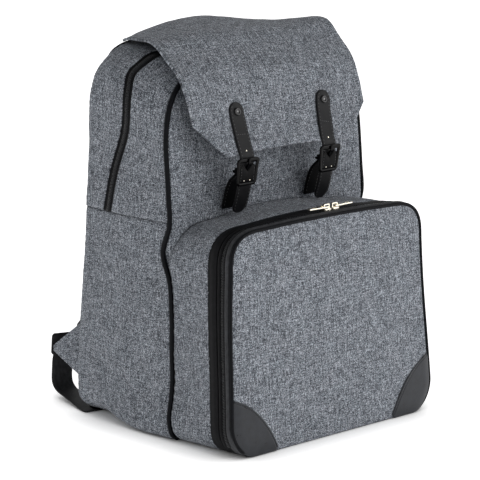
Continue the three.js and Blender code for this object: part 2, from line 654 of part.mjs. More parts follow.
function cornerPatch(side) {
  const cornerTop = BASE_Z + CASE_FRONT.cornerZ;
  const cornerShare = PATCH_SIDE_SHARE + PATCH_CORNER_SHARE;
  const outerEdge = (w) => {
    if (w < PATCH_SIDE_SHARE) {
      const z = lerp(PATCH.sideZ - PATCH.endWidth, cornerTop, w / PATCH_SIDE_SHARE);
      const f = (z - cornerTop) / (CASE_FRONT.seamZ - cornerTop);
      return { x: outlinePoint(CASE_FRONT, CORNER_END + f).x - PANEL_INSET, z };
    }
    if (w < cornerShare) {
      const h = lerp(CORNER_END, CORNER_START, (w - PATCH_SIDE_SHARE) / PATCH_CORNER_SHARE);
      const point = outlinePoint(CASE_FRONT, h);
      const normal = outlineNormal(CASE_FRONT, h);
      return { x: point.x - normal.x * PANEL_INSET, z: point.z - normal.z * PANEL_INSET };
    }
    const flatHalf = CASE_FRONT.halfBottom - CASE_FRONT.cornerX;
    const f = (w - cornerShare) / (1 - cornerShare);
    return { x: lerp(flatHalf, PATCH.baseX + PATCH.endWidth, f), z: BASE_Z + PANEL_INSET };
  };
  const sideX = outlinePoint(CASE_FRONT, CORNER_END).x - PANEL_INSET - PATCH.edgeClear;
  const innerEdge = new THREE.QuadraticBezierCurve(flat(sideX, PATCH.sideZ), flat(PATCH.bowX, PATCH.bowZ),
    flat(PATCH.baseX, BASE_Z + PANEL_INSET));
  const surface = (offset) => (w, f) => {
    const outer = outerEdge(w);
    const inner = innerEdge.getPoint(w);
    const x = lerp(outer.x, inner.x, f);
    const z = lerp(outer.z, inner.y, f);
    const panelFace = caseFrontY(z) - casePanelBulge(x, z) - PANEL_THICKNESS / 2;
    return vector(side * x, panelFace - GAP - offset, z);
  };
  return shell(surface(PATCH.thickness), surface(0), steps(0, 1, PATCH.steps), steps(0, 1, 3));
}

// Zip sliders and pulls, built along +X with the pull lying outwards
function sliderGeometry() {
  const plate = extrude(roundedBox(SLIDER.length, SLIDER.width, SLIDER.corner), SLIDER.height);
  const reach = SLIDER.bridgeReach;
  const inside = reach - SLIDER.bridgeWall;
  const foot = SLIDER.height - SLIDER.bridgeSink;
  const top = SLIDER.height + SLIDER.bridgeRise;
  const arch = roundedShape(boxPoints(-reach, reach, foot, top), SLIDER.bridgeCorner);
  const eye = boxPoints(-inside, inside, SLIDER.height, top - SLIDER.bridgeWall);
  arch.holes.push(roundedShape(eye, SLIDER.eyeCorner));
  const bridge = extrude(arch, SLIDER.bridgeWidth).rotateX(Math.PI / 2);
  return join(plate, bridge.translate(0, SLIDER.bridgeWidth / 2, 0));
}

function pullGeometry() {
  const half = PULL.plateWidth / 2;
  const endHalf = half - PULL.taper;
  const eyeHalf = PULL.eyeWidth / 2;
  const plate = roundedShape([
    flat(-PULL.bar / 2, -half), flat(PULL.length, -endHalf),
    flat(PULL.length, endHalf), flat(-PULL.bar / 2, half),
  ], PULL.corner);
  plate.holes.push(roundedShape(boxPoints(PULL.bar / 2, PULL.eyeLength, -eyeHalf, eyeHalf), PULL.eyeCorner));
  const slotX = PULL.length - PULL.slotFromEnd;
  plate.holes.push(roundedBox(PULL.slotLength, PULL.slotWidth, PULL.slotCorner, slotX, 0));
  return extrude(plate, PULL.thick).translate(0, 0, -PULL.thick / 2);
}

function addSliders() {
  const chainCentre = (CASE_CHAIN.from + CASE_CHAIN.to) / 2;
  const topRow = mixRows(CASE_FRONT, CASE_REAR, chainCentre / CASE_DEPTH);
  const seatZ = topRow.apexZ + CHAIN_PROUD + GAP;
  const y = caseFrontY(topRow.apexZ) + chainCentre;
  Object.entries(SLIDER_OFFSETS).forEach(([name, x]) => {
    const place = new THREE.Group();
    place.position.set(x, y, seatZ);
    place.rotation.z = name === 'left' ? Math.PI : 0;
    const pivot = new THREE.Group();
    pivot.position.z = SLIDER.height + PULL.pivotRise;
    addPiece(`zip_slider_${name}`, sliderGeometry(), 'bright_metal', place);
    addPiece(`zip_pull_${name}`, pullGeometry(), 'bright_metal', pivot);
    place.add(pivot);
    bag.add(place);
  });
}

// Flap
const flapPoints = FLAP_ROWS.map((row) => vector(row.drop, row.y, row.z));
const flapCurve = new THREE.CatmullRomCurve3(flapPoints, false, 'centripetal');

function flapSurface(u, v) {
  const middle = flapCurve.getPoint(v);
  const place = v * (FLAP_ROWS.length - 1);
  const row = Math.min(Math.floor(place), FLAP_ROWS.length - 2);
  const half = lerp(FLAP_ROWS[row].half, FLAP_ROWS[row + 1].half, place - row);
  const curl = FLAP_CURL.height * smooth(FLAP_CURL.from, 1, u) * bell(v - FLAP_CURL.v, FLAP_CURL.reach);
  return vector(u * half, middle.y, middle.z - middle.x * u * u + curl);
}

function flapNormal(u, v) {
  const step = 0.01;
  const alongU = flapSurface(u + step, v).sub(flapSurface(u - step, v));
  const alongV = flapSurface(u, Math.min(1, v + step)).sub(flapSurface(u, Math.max(0, v - step)));
  return alongU.cross(alongV).normalize().negate();
}

const flapOffset = (u, v, distance) => flapSurface(u, v).addScaledVector(flapNormal(u, v), distance);

function addFlap() {
  const rows = steps(0, 1, (FLAP_ROWS.length - 1) * FLAP_STEPS_PER_ROW);
  addPiece('flap', shell((v, u) => flapSurface(u, v), (v, u) => flapOffset(u, v, -FLAP_THICKNESS), rows,
    steps(-1, 1, FLAP_COLUMNS)), 'cloth');
}

// Buckled straps, each with its rivet, buckle and chape
function strapRoute({ topX, lowX }) {
  const lift = STRAP_THICKNESS / 2 + GAP;
  const onFlap = steps(STRAP_TOP_ON_FLAP, STRAP_LEAVES_FLAP, 6).map((v, i) => {
    const point = flapOffset(STRAP_ON_FLAP_U, v, lift);
    return vector(lerp(topX, lowX, i / 6), point.y, point.z);
  });
  const reach = BUCKLE.height * BUCKLE_REACH;
  const inBuckle = steps(reach, -reach, 4).map((up) => vector(lowX,
    BUCKLE_CENTRE.y - up * Math.sin(BUCKLE_LEAN), BUCKLE_CENTRE.z + up * Math.cos(BUCKLE_LEAN)));
  const tail = STRAP_TAIL.map((row) => vector(lowX, row.y, row.z));
  return [...onFlap, ...inBuckle, ...tail];
}

function roundedEnds(route, width) {
  const along = [0];
  route.slice(1).forEach((point, i) => along.push(along[i] + point.distanceTo(route[i])));
  const total = along[along.length - 1];
  return (i) => {
    const fromEnd = Math.min(along[i], total - along[i]) + STRAP_END_FLAT;
    const reach = width / 2;
    return fromEnd >= reach ? width : 2 * Math.sqrt(reach ** 2 - (reach - fromEnd) ** 2);
  };
}

// Adds close steps near both ends of a route, so that the ends can be rounded
function withEndSteps(route, reach) {
  const curve = new THREE.CatmullRomCurve3(route, false, 'centripetal');
  const length = curve.getLength();
  const near = [0, 0.12, 0.35, 0.65, 1].map((f) => f * reach / length);
  const middle = steps(near[near.length - 1], 1 - near[near.length - 1], 14).slice(1, -1);
  const places = [...near, ...middle, ...near.map((f) => 1 - f).reverse()];
  return places.map((f) => curve.getPointAt(f));
}

function buckleFrame() {
  const halfTop = BUCKLE.topWidth / 2;
  const halfBase = BUCKLE.baseWidth / 2;
  const halfHeight = BUCKLE.height / 2;
  const ring = roundedShape([
    flat(-halfBase, -halfHeight), flat(halfBase, -halfHeight),
    flat(halfTop, halfHeight), flat(-halfTop, halfHeight),
  ], BUCKLE.corner);
  ring.holes.push(roundedBox(BUCKLE.holeWidth, BUCKLE.height - 2 * BUCKLE.bar, BUCKLE.holeCorner));
  const front = STRAP_THICKNESS / 2 + GAP;
  const size = BUCKLE_BAR.size;
  const barBack = BUCKLE_BAR.out - size / 2;
  const lugX = BUCKLE.holeWidth / 2 + BUCKLE_BAR.lugWidth / 2 - BUCKLE_BAR.bite;
  const lugDepth = front + BUCKLE_BAR.lugSink - barBack;
  const lugOut = barBack + lugDepth / 2;
  const lugs = [-1, 1].map((side) => block(BUCKLE_BAR.lugWidth, size, lugDepth, side * lugX, 0, lugOut));
  const bar = block(2 * lugX, size, size, 0, 0, BUCKLE_BAR.out);
  return join(extrude(ring, BUCKLE.thick).translate(0, 0, front), ...lugs, bar);
}

// Hole round the buckle's bar, in the profile of the prong and of the chape
function barHole() {
  const reach = BUCKLE_BAR.size / 2 + BUCKLE_BAR.clearance;
  return new THREE.Path(boxPoints(-reach, reach, BUCKLE_BAR.out - reach, BUCKLE_BAR.out + reach));
}

// Stands a profile of distance up the strap and distance out of the bag across the strap's width
function acrossStrap(shape, width) {
  const side = new THREE.Matrix4().makeBasis(vector(0, 1, 0), vector(0, 0, 1), vector(1, 0, 0));
  return extrude(shape, width).applyMatrix4(side).translate(-width / 2, 0, 0);
}

// The prong loops round the bar, rises through the slot and lies over the top of the frame
function buckleProng() {
  const top = STRAP_THICKNESS / 2 + GAP + BUCKLE.thick + GAP;
  const eye = BUCKLE_BAR.size / 2 + BUCKLE_BAR.clearance + PRONG.wall;
  const eyeBack = BUCKLE_BAR.out - eye;
  const tip = BUCKLE.height / 2 + PRONG.overhang;
  const rise = BUCKLE.height / 2 - BUCKLE.bar;
  const shape = new THREE.Shape([
    flat(-eye, eyeBack), flat(eye, eyeBack), flat(eye, -0.4), flat(rise - 0.6, top), flat(tip, top),
    flat(tip, top + PRONG.thick), flat(rise - 1.2, top + PRONG.thick), flat(0.4, 1.2), flat(-eye, -0.6),
  ]);
  shape.holes.push(barHole());
  return acrossStrap(shape, PRONG.width);
}

function buckleChape() {
  const edge = (sign) => CHAPE_ROWS.map((row, i) => {
    const before = CHAPE_ROWS[Math.max(i - 1, 0)];
    const after = CHAPE_ROWS[Math.min(i + 1, CHAPE_ROWS.length - 1)];
    const along = flat(after.up - before.up, after.out - before.out).normalize();
    return flat(row.up - along.y * sign * row.half, row.out + along.x * sign * row.half);
  });
  const shape = new THREE.Shape([...edge(1), ...edge(-1).reverse()]);
  shape.holes.push(barHole());
  const slot = block(PRONG.slotWidth, CHAPE_SLOT.length, CHAPE_SLOT.depth, 0, CHAPE_SLOT.up, BUCKLE_BAR.out);
  return cut(acrossStrap(shape, CHAPE_WIDTH), slot);
}

function addBuckledStrap(name, places) {
  const route = withEndSteps(strapRoute(places), STRAP_WIDTH / 2);
  const across = vector(1, 0, 0);
  const strap = band(route, () => across, roundedEnds(route, STRAP_WIDTH), STRAP_THICKNESS);
  const buckle = new THREE.Group();
  buckle.position.set(places.lowX, BUCKLE_CENTRE.y, BUCKLE_CENTRE.z);
  buckle.rotation.x = Math.PI / 2 + BUCKLE_LEAN;
  buckle.updateMatrixWorld();
  const slotLength = PRONG.slotBelow + PRONG.slotAbove;
  const slotUp = (PRONG.slotAbove - PRONG.slotBelow) / 2;
  const slot = block(PRONG.slotWidth, slotLength, 4 * STRAP_THICKNESS, 0, slotUp, 0);
  addPiece(`flap_strap_${name}`, cut(strap, slot.applyMatrix4(buckle.matrix)), 'strap_leather');
  addPiece(`buckle_frame_${name}`, buckleFrame(), 'black_metal', buckle);
  addPiece(`buckle_prong_${name}`, buckleProng(), 'black_metal', buckle);
  addPiece(`buckle_chape_${name}`, buckleChape(), 'strap_leather', buckle);
  bag.add(buckle);

  const rivetV = STRAP_TOP_ON_FLAP + RIVET.below;
  const seat = flapOffset(STRAP_ON_FLAP_U, rivetV, STRAP_THICKNESS + 2 * GAP);
  const normal = flapNormal(STRAP_ON_FLAP_U, rivetV);
  const cap = new THREE.LatheGeometry([
    flat(0, 0), flat(RIVET.radius, 0), flat(RIVET.radius * 0.9, RIVET.height * 0.55),
    flat(RIVET.radius * 0.5, RIVET.height), flat(0, RIVET.height),
  ], RIVET.sides);
  const rivet = addPiece(`strap_rivet_${name}`, cap, 'black_metal');
  rivet.position.set(places.topX, seat.y, seat.z);
  rivet.quaternion.setFromUnitVectors(vector(0, 1, 0), vector(0, normal.y, normal.z).normalize());
}

// Shoulder straps and what adjusts them
const mirrored = (rows, side) => rows.map((row) => ({ ...row, x: side * row.x }));

function shoulderPad(side) {
  const rows = mirrored(SHOULDER_ROWS, side);
  const route = curveRoute(rows, SHOULDER_STEPS);
  const widthAt = (i) => {
    const place = i / SHOULDER_STEPS * (rows.length - 1);
    const row = Math.min(Math.floor(place), rows.length - 2);
    return lerp(rows[row].width, rows[row + 1].width, place - row);
  };
  const across = (i) => {
    const tilt = SHOULDER_TILT.angle * smooth(SHOULDER_TILT.from, 1, i / SHOULDER_STEPS);
    return vector(Math.cos(tilt), 0, side * Math.sin(tilt));
  };
  return band(route, across, widthAt, SHOULDER_THICKNESS, 4, SHOULDER_CROWN);
}

function ladderLock() {
  const shape = roundedBox(LOCK.width, LOCK.length, LOCK.corner);
  [-1, 1].forEach((end) => {
    shape.holes.push(roundedBox(LOCK.slotWidth, LOCK.slotLength, LOCK.slotCorner, 0, end * LOCK.slotPlace));
  });
  return extrude(shape, LOCK.thick).translate(0, 0, -LOCK.thick / 2);
}

function webbingTab(side) {
  const baseY = (z) => tableAt(BODY_BACK_EDGE, 'z', 'y', z) + PIPING_RADIUS + GAP;
  const face = (offset) => (v, f) => {
    const baseZ = lerp(TAB.lowZ, TAB.topZ, f);
    const tipZ = TAB.tipZ + (f - 0.5) * TAB.tipHeight;
    const x = lerp(TAB.x, TAB.tipX, v * v) + offset;
    return vector(side * x, lerp(baseY(baseZ), TAB.tipY, v), lerp(baseZ, tipZ, v));
  };
  const half = TAB.thickness / 2;
  return shell(face(half), face(-half), steps(0, 1, TAB.steps), steps(0, 1, TAB.columns));
}

function addShoulderStrap(name, side) {
  addPiece(`shoulder_strap_${name}`, shoulderPad(side), 'cloth');

  const webbing = mirrored(WEBBING_ROUTE, side);
  const lock = addPiece(`ladder_lock_${name}`, ladderLock(), 'black_plastic');
  lock.position.set(side * LOCK.x, LOCK.y, LOCK.z);
  const heading = vector(webbing[0].x, webbing[0].y, webbing[0].z).sub(lock.position).normalize();
  const wide = vector(heading.z, 0, -heading.x).normalize();
  const turned = new THREE.Matrix4().makeBasis(wide, heading, wide.clone().cross(heading));
  lock.quaternion.setFromRotationMatrix(turned);

  const upright = (i) => wide.clone().lerp(vector(0, 0, -side), i / WEBBING_STEPS).normalize();
  const tailAcross = vector(side * TAIL_ACROSS.x, TAIL_ACROSS.y, 0);
  const width = () => WEBBING_WIDTH;
  const webRoute = curveRoute(webbing, WEBBING_STEPS);
  const tailRoute = curveRoute(mirrored(TAIL_ROUTE, side), TAIL_STEPS);
  addPiece(`strap_webbing_${name}`, band(webRoute, upright, width, WEBBING_THICKNESS), 'black_cloth');
  addPiece(`strap_tail_${name}`, band(tailRoute, () => tailAcross, width, WEBBING_THICKNESS), 'black_cloth');
  addPiece(`strap_tab_${name}`, webbingTab(side), 'cloth');
}

addBody();
addCase();
addFlap();
addSliders();
[['left', -1], ['right', 1]].forEach(([name, side]) => {
  addPiece(`corner_patch_${name}`, cornerPatch(side), 'patch_leather');
  addBuckledStrap(name, STRAPS[name]);
  addShoulderStrap(name, side);
});

bag.position.z = -BASE_Z;

export default bag;
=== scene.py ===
"""Looks of the picnic backpack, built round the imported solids.

Sizes are in millimetres in the solids' own frame: heights count from the lower edge of the case's front
panel, and LIFT raises everything so that the base stands on the floor.
"""
import math

import bpy
import numpy as np
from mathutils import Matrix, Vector, noise


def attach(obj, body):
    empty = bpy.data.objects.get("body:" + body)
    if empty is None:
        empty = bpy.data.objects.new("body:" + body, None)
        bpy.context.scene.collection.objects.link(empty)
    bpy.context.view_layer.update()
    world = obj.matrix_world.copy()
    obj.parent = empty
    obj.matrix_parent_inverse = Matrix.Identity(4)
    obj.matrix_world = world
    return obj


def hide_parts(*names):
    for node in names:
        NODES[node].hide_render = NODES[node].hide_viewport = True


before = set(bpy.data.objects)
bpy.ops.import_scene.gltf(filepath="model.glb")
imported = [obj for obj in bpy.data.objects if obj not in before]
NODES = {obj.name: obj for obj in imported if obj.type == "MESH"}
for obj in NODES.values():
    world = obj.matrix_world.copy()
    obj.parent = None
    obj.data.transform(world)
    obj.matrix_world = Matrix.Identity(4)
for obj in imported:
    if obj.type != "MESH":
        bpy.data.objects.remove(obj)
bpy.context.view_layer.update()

MM = 0.001
LIFT = 4.5
BASE_Z = -LIFT
BODY = "bag"
SIDES = (("left", -1), ("right", 1))
ACROSS = (1, 0, 0)
UPRIGHT = (0, 0, 1)

# Camera fitted to the photograph
CAMERA = dict(azimuth=-42.55, elevation=12.13, distance=2567.7, target=(-29.97, 0.0, 200.27), lens=176.25,
              sensor=36)

# Floor, studio and lights, in metres and watts
VIEW_END = 100
FLOOR_REACH = 30.0
FLOOR_GLOW = 0.8
# Reach of the painted contact shadow that dims the floor's glow near the bag
SHADE_REACH = 0.07
# Height of the way in and brightness of the studio round the bag
WORLD_TONES = ((0.1, 0.55), (0.5, 1.0), (0.9, 0.15))
# Name, place, width and height, power
LIGHTS = (("front_key", (0.5, -2.6, 1.4), (1.4, 1.4), 15),
          ("right_fill", (1.7, -1.9, 0.6), (1.2, 1.2), 7),
          ("glint", (1.9, -1.8, 1.2), (0.45, 0.45), 5))
LIGHT_AIM = (0, 0, 0.2)

# Outlines seen from the front, as half widths and heights
BODY_FRONT = dict(half_bottom=148, half_top=145, corner_x=10, corner_z=10, seam_z=233,
                  shoulder_z=300, shoulder_x=70, shoulder_rise=88, apex_z=397, power=2.4)
BODY_REAR = dict(half_bottom=150, half_top=148, corner_x=30, corner_z=23, seam_z=233,
                 shoulder_z=316, shoulder_x=68, shoulder_rise=94, apex_z=425, power=2.4)
CASE_FRONT = dict(half_bottom=150.5, half_top=142.5, corner_x=31, corner_z=36, seam_z=110,
                  shoulder_z=192, shoulder_x=48, shoulder_rise=43, apex_z=236.8, power=2.9)
CASE_REAR = dict(half_bottom=147, half_top=145, corner_x=14, corner_z=14, seam_z=100,
                 shoulder_z=176, shoulder_x=60, shoulder_rise=54, apex_z=238.5, power=2.6)

# Places along half an outline, and the steps in each stretch between them
BASE_MIDDLE, CORNER_START, CORNER_END, SEAM, SHOULDER, TOP, APEX = range(7)
STRETCH_STEPS = (22, 14, 54, 18, 40, 20)
PROUD_FROM = 1.4
LOOSE_TO = 2.1
PANEL_TOP = 5.9
NORMAL_STEP = 0.03

# Depth of the body's edges at each height: (height, depth)
FRONT_EDGE = ((0, -21), (40, -17), (133, -19), (170, -15), (198, -4.5), (230, -15), (262, -13), (310, -9),
              (350, -5), (380, 1), (397, 8))
BACK_EDGE = ((0, 139), (32, 140), (99, 135), (158, 128), (232, 121), (316, 115), (380, 111), (430, 108))
FRONT_PANEL_DEPTH = ((0, -21), (133, -18), (230, -16), (310, -11), (350, -5), (397, 8))
EDGE_BLEND_START = 0.93
SHOULDER_SWELL = dict(amount=13, start=4.0, full=4.45, fade=4.65, end=5.2)
SIDE_SWELL = dict(amount=5, start=1.5, full=2.0, fade=3.0, end=4.0)
# Share of the depth from front to back: width and height of the body's lower corners
LOWER_CORNERS = ((0, 9, 9), (0.2, 5, 5), (0.36, 6, 6), (0.55, 18, 14), (0.78, 38, 29), (1, 30, 23))
# Waves of the body's lower edge beside the case: height, reach, distance outwards
EDGE_WAVES = ((18, 15, 3.5), (62, 24, -3.0))
EDGE_WAVE_END = 0.6
CASE_WAVE_FROM = 0.3
# Below the shoulders the gussets turn round the rear edge, which hides the back piping from the side
REAR_TURN = dict(reach=12, inset=8, push=4.0, low_push=2.0, push_from=0.6, fade=(4.45, 4.7), piping=1.6,
                 swell=4.5, swell_at=4.35, swell_reach=0.28, swell_rise=(0.55, 0.95))
# Broad folds of the lower sides: place across the gusset, height, reach across, reach in height, depth
SIDE_FOLDS = ((0.16, 172, 0.10, 16, 4.0), (0.45, 60, 0.30, 40, 2.0), (0.80, 190, 0.16, 26, 2.5))

# Points inside the bag and its case, which the inner faces of their cloth look to
BODY_CORE = (0, 60, 190)
CASE_CORE = (0, -60, 110)
FLAP_CORE = (0, 40, 300)
TAB_CORE = (0, 160, 60)

CLOTH = 2.0
TAPE = 1.4
GAP = 0.4
FLOOR_CLEAR = 0.4
# Columns of points across the cloth walls; towards a rear edge they close up
COLUMNS = dict(lower_gusset=65, gusset_front=29, gusset_rear=37, tape=9, case_gusset=31, panel=65, back=41)
REAR_CLOSE = 1.5

# Loose cloth: broad waves, fine crepe and puckers beside the seams, and where they start
RUFFLE = dict(size=42, depth=1.1)
CREPE = dict(size=13, depth=0.35)
PUCKER = dict(pitch=8.5, depth=0.35, reach=8, drift=4.4, drift_size=30)
RUFFLE_FROM_SEAM = (2, 16)
CREPE_FROM_HEM = (1, 9)
# How far edges roll in, or out where the number is negative
EDGE_ROLL = 1.6
EDGE_REACH = 3.0
REAR_ROLL = 0.4
ZIP_HEM = -0.5
CASE_ROLL = 1.2
SEAM_ROLL = dict(depth=1.2, reach=0.02)

# Creases: point, way along, way across, length, width, depth; each has a weaker ridge beside it
CREASE_RIDGE = dict(share=0.7, offset=1.5)
# These lie on the left side and are mirrored on the right
SIDE_CREASES = (
    ((-149, 8, 166.5), (0, 0.98, 0.18), (0, -0.18, 0.98), 25, 4.5, -3.0),
    ((-148, 22, 222), (0, 1, 0.08), (0, -0.08, 1), 40, 3.6, -1.1),
    ((-148, 60, 214), (0, 1, -0.2), (0, 0.2, 1), 30, 6, -1.2),
    ((-148, 100, 150), (0, 0.5, 0.87), (0, 0.87, -0.5), 44, 7, -1.3),
    ((-148, 30, 96), (0, 0.75, -0.66), (0, 0.66, 0.75), 40, 8, -1.2),
    ((-148, 92, 60), (0, 0.9, 0.43), (0, -0.43, 0.9), 46, 8, -1.4),
)
UPPER_CREASES = (
    ((-147, 22, 252), (0, 1, 0.25), (0, -0.25, 1), 34, 4, -1.0),
    ((-146, 96, 262), (0, 0.6, 0.8), (0, 0.8, -0.6), 40, 6, -1.3),
    ((-140, 30, 330), (0, 0.9, 0.2), (0, -0.2, 0.9), 26, 5, -0.9),
    ((-140, 88, 352), (0, 0.8, 0.5), (0, -0.5, 0.8), 30, 6, -1.1),
)
CASE_CREASES = (
    ((-145, -40, 176), (0, 0.9, 0.4), (0, -0.4, 0.9), 24, 4, -0.9),
    ((-147, -52, 120), (0, 0.5, -0.87), (0, 0.87, 0.5), 34, 6, -0.9),
    ((-148, -60, 50), (0, 0.8, 0.6), (0, -0.6, 0.8), 30, 6, -0.9),
)
# These lie on the front panel, the case's panel and the flap, and aren't mirrored
FRONT_CREASES = (
    ((-95, -15, 262), (1, 0, 0.25), (-0.25, 0, 1), 26, 5, -1.0),
    ((20, -15, 255), (1, 0, -0.12), (0.12, 0, 1), 44, 6, -1.1),
    ((126, -15, 284), (-0.34, 0, -0.94), (0.94, 0, -0.34), 36, 3.0, -2.0),
    ((112, -15, 250), (-0.6, 0, -0.8), (0.8, 0, -0.6), 20, 3.4, -1.4),
)
CASE_PANEL_CREASES = (
    ((-70, -115, 175), (0.9, 0, 0.35), (-0.35, 0, 0.9), 60, 14, -0.9),
    ((60, -115, 70), (0.8, 0, -0.5), (0.5, 0, 0.8), 60, 16, -0.9),
    ((-20, -115, 30), (1, 0, 0.05), (-0.05, 0, 1), 70, 10, -0.7),
)
FLAP_CREASES = (
    ((-60, -14, 384), (1, 0, 0.1), (-0.1, -0.5, 0.9), 60, 9, -0.8),
    ((70, 40, 424), (0.6, 0.8, 0), (0.8, -0.6, 0), 50, 10, -0.8),
    ((-80, 60, 420), (0.5, 0.86, 0), (0.86, -0.5, 0), 50, 10, -0.8),
)

PIPING_RADIUS = 2.2
PIPING_PROUD = 1.2
PIPING_SINK = 0.2
BODY_CORD_RADIUS = 2.6
CASE_CORD_RADIUS = 1.9
CORD_SIDES = 10
CORD_STEP = 3.0
RIGHT_PIPING_TUCK = 1.4
BASE_CORD_TUCK = 2.2
CLOTH_TUCK = 0.6 * PIPING_RADIUS

# Main zip: (height, place across the gusset)
MAIN_ZIP_PATH = ((233, 0.69), (284, 0.62), (339, 0.475), (356, 0.456), (372, 0.453), (387, 0.477),
                 (399, 0.43), (430, 0.4))
MAIN_ZIP_WIDTH = 19
MAIN_ZIP_SHOWN = 14
MAIN_ZIP_GAUGE_T = 0.55
CHAIN_WIDTH = 5.4
CHAIN_ON_TAPE = 0.5
TAPE_RECESS = 0.8
TOOTH_PITCH = 1.7
# Shares of the pitch and of the chain's width, then millimetres, then the taper of a tooth's top
TOOTH = dict(length=0.36, width=0.30, shift=0.17, height=0.75, lift=0.5, taper=0.6)
TOOTH_FACES = ((0, 1, 3, 2), (4, 6, 7, 5), (0, 4, 5, 1), (2, 3, 7, 6), (1, 5, 7, 3))

# Panels reach almost over their pipings, and fall back at the edge
PANEL_EDGE = 0.6
PANEL_INSET = 5.4
PANEL_THICKNESS = 3.0
PANEL_ROLL = dict(soft=2.0, reach=13, hem=1.2, hem_reach=1.5, base=0.4, base_reach=14)
PANEL_LOOSE = dict(ruffle=1.3, ruffle_from=(4, 26), crepe=0.7, crepe_from=(2, 8))
FRONT_PANEL_LEFT_INSET = 2.6
CASE_PANEL_LEFT_INSET = 1.0

CASE_DEPTH = 100
CASE_FRONT_Y = -120
CASE_LEAN = 12.4 / 235
CASE_BULGE = dict(amount=4, half=150, centre_z=118, reach_z=118)
CASE_SWAY = dict(amount=2.6, height=145, reach=72)
CASE_JOIN = dict(place=2.5, beyond=1, clear=1.0)
CASE_HINGE = dict(clear=6, depths=(1.5, 36), lift=0.05, grid=(41, 9))
# Case zip: places of its ends along the outline, then depths behind the case's front edge
CASE_ZIP_END = 0.7
CASE_TEETH_END = 1.5
CASE_TAPES = (1.2, 35.5)
CASE_CHAIN = (9.0, 14.4)
CASE_TAPE_PARTING = 0.6
CASE_GUSSET_FROM = 34.5
TAPE_COLUMNS_PER_MM = 2.4
# Ridges of its tapes: depth behind the case's front edge, half width, height
FRONT_TAPE_RIDGES = ((6.0, 2.4, 2.2), (2.0, 1.0, -1.2), (9.4, 0.8, -1.0))
REAR_TAPE_RIDGES = ((14.2, 0.8, -1.0), (17.6, 2.4, 1.4), (21.2, 0.8, -1.4), (27.5, 4.5, 0.9))

# Corner patches: the inner edge bows from the side to the base, beside a stitched groove
PATCH = dict(side_z=60, base_x=87, bow_x=109, bow_z=47, thickness=1.2, end_width=3, edge_clear=0.6, hem=0.8,
             rim_drop=0.7, rim_reach=0.9, groove=2.4, groove_depth=0.9, groove_reach=0.7)
# Shares of the outer edge along the side and round the corner
PATCH_SHARES = (0.4, 0.4)
PATCH_GRID = (61, 49)
PATCH_CLOSE = 1.6
PATCH_STITCH_END = 4

# Flap rows from its seam to its lower edge: depth, height, drop at the sides, half width
FLAP_ROWS = ((109, 429.4, 18.5, 102.5), (86, 430, 14, 117), (58, 427.5, 9, 123), (28, 421, 5, 128),
             (9, 406, 3, 128.5), (-12, 386, 1, 128), (-24, 362, 0, 127), (-33, 336, 0, 126),
             (-47, 304, 3, 90))
FLAP_THICKNESS = 2.5
FLAP_GRID = (97, 71)
FLAP_STEP = 0.01
FLAP_LOOSE = dict(size=1.2, depth=1.0, start=(3, 30))
FLAP_HEM = dict(width=9, step=0.5, blend=1, lip=0.6, lip_reach=1.6, half=126, stitch_end=4)
# The right rear corner of the flap stands up
FLAP_CURL = dict(height=6.5, start=0.6, v=0.36, reach=0.14)
# and its top sinks a little behind that corner
FLAP_DIP = dict(depth=3.0, u=0.5, v=0.18, reach_u=0.28, reach_v=0.2)

# Stitches: length, gap, radius
STITCHES = {"patch": (2.2, 1.2, 0.3), "flap": (2.4, 1.2, 0.3), "strap": (2.4, 1.4, 0.34),
            "cross": (2.0, 1.0, 0.34), "tongue": (2.0, 1.1, 0.3)}
STITCH_SIDES = 6
STITCH_SINK = 0.1
STITCH_DIP = 0.9
# Rings of a stitch: place along it, share of its radius
STITCH_RINGS = ((0.0, 0.35), (0.22, 1.0), (0.78, 1.0), (1.0, 0.35))

# Each strap's place across the bag at its rivet and from the flap's edge down
STRAPS = {"left": (-63.3, -65.6), "right": (67, 56.2)}
STRAP_WIDTH = 20
STRAP_THICKNESS = 2.2
STRAP_ON_FLAP = (0.79, 0.99)
STRAP_U = 0.55
STRAP_TAIL = ((-40.5, 250), (-34.5, 237))
STRAP_STEPS = dict(flap=9, buckle=4, all=110)
STRAP_STITCHES = dict(inset=2.4, end=3, cross_half=7, cross_steps=9)
# Steps of the strap at which its rivet, its cross seam and its eyelet sit
RIVET_AT, CROSS_AT, EYELET_AT = 9, 31, 47
# Round caps: radius, height, share of the height by which the middle is sunk
CAPS = {"rivet": (4.4, 2.0, 0.45), "eyelet": (0.9, 0.4, 0.6), "tongue_rivet": (0.7, 0.5, 0.0)}
CAP_SIDES = 28

BUCKLE_CENTRE = (-47.4, 283)
BUCKLE_LEAN = math.atan2(2.5, 18)
BUCKLE = dict(top_width=31, base_width=27, height=30, bar=3.6, thick=2.6, corner=2.6, corner_steps=7,
              step=1.0, plump=1.12, top_plump=0.3, top_from=5, top_to=1, flatten=0.75, sides=12,
              strap_reach=0.55)
BAR = dict(out=-4.8, half=12, steps=9, width=3.0, lug_at=12.2, lug_back=1, lug_steps=7, lug_thick=2.0)
# The tongue's rivets are placed across it, up from its lower edge and out of the bag
TONGUE = dict(half=11.2, low=-11.8, high=8.0, notch=6.5, notch_half=0.55, round_from=0.75, round_drop=2.2,
              out=3.3, crown=0.5, edge_drop=0.9, edge_reach=0.9, thickness=1.6, grid=(33, 25), inside=-60.0,
              stitch_columns=(3, -4), stitch_rows=slice(2, -3), rivet=(4.2, 2.6, 3.4))
CHAPE_WIDTH = 18
CHAPE_THICKNESS = 2.8
CHAPE_FLARE = dict(share=0.35, end=0.35)
CHAPE_STEPS = 50
CHAPE_STITCHES = dict(inset=2.2, rows=slice(6, -2))
# Chape from the buckle's bar to the front panel: distance up the strap, distance out of the bag
CHAPE_ROWS = ((4.0, -4.2), (0.5, -3.6), (-3.0, -4.4), (-7, -8.4), (-13, -14), (-22, -18), (-32, -20),
              (-40, -21), (-46.5, -21.6))

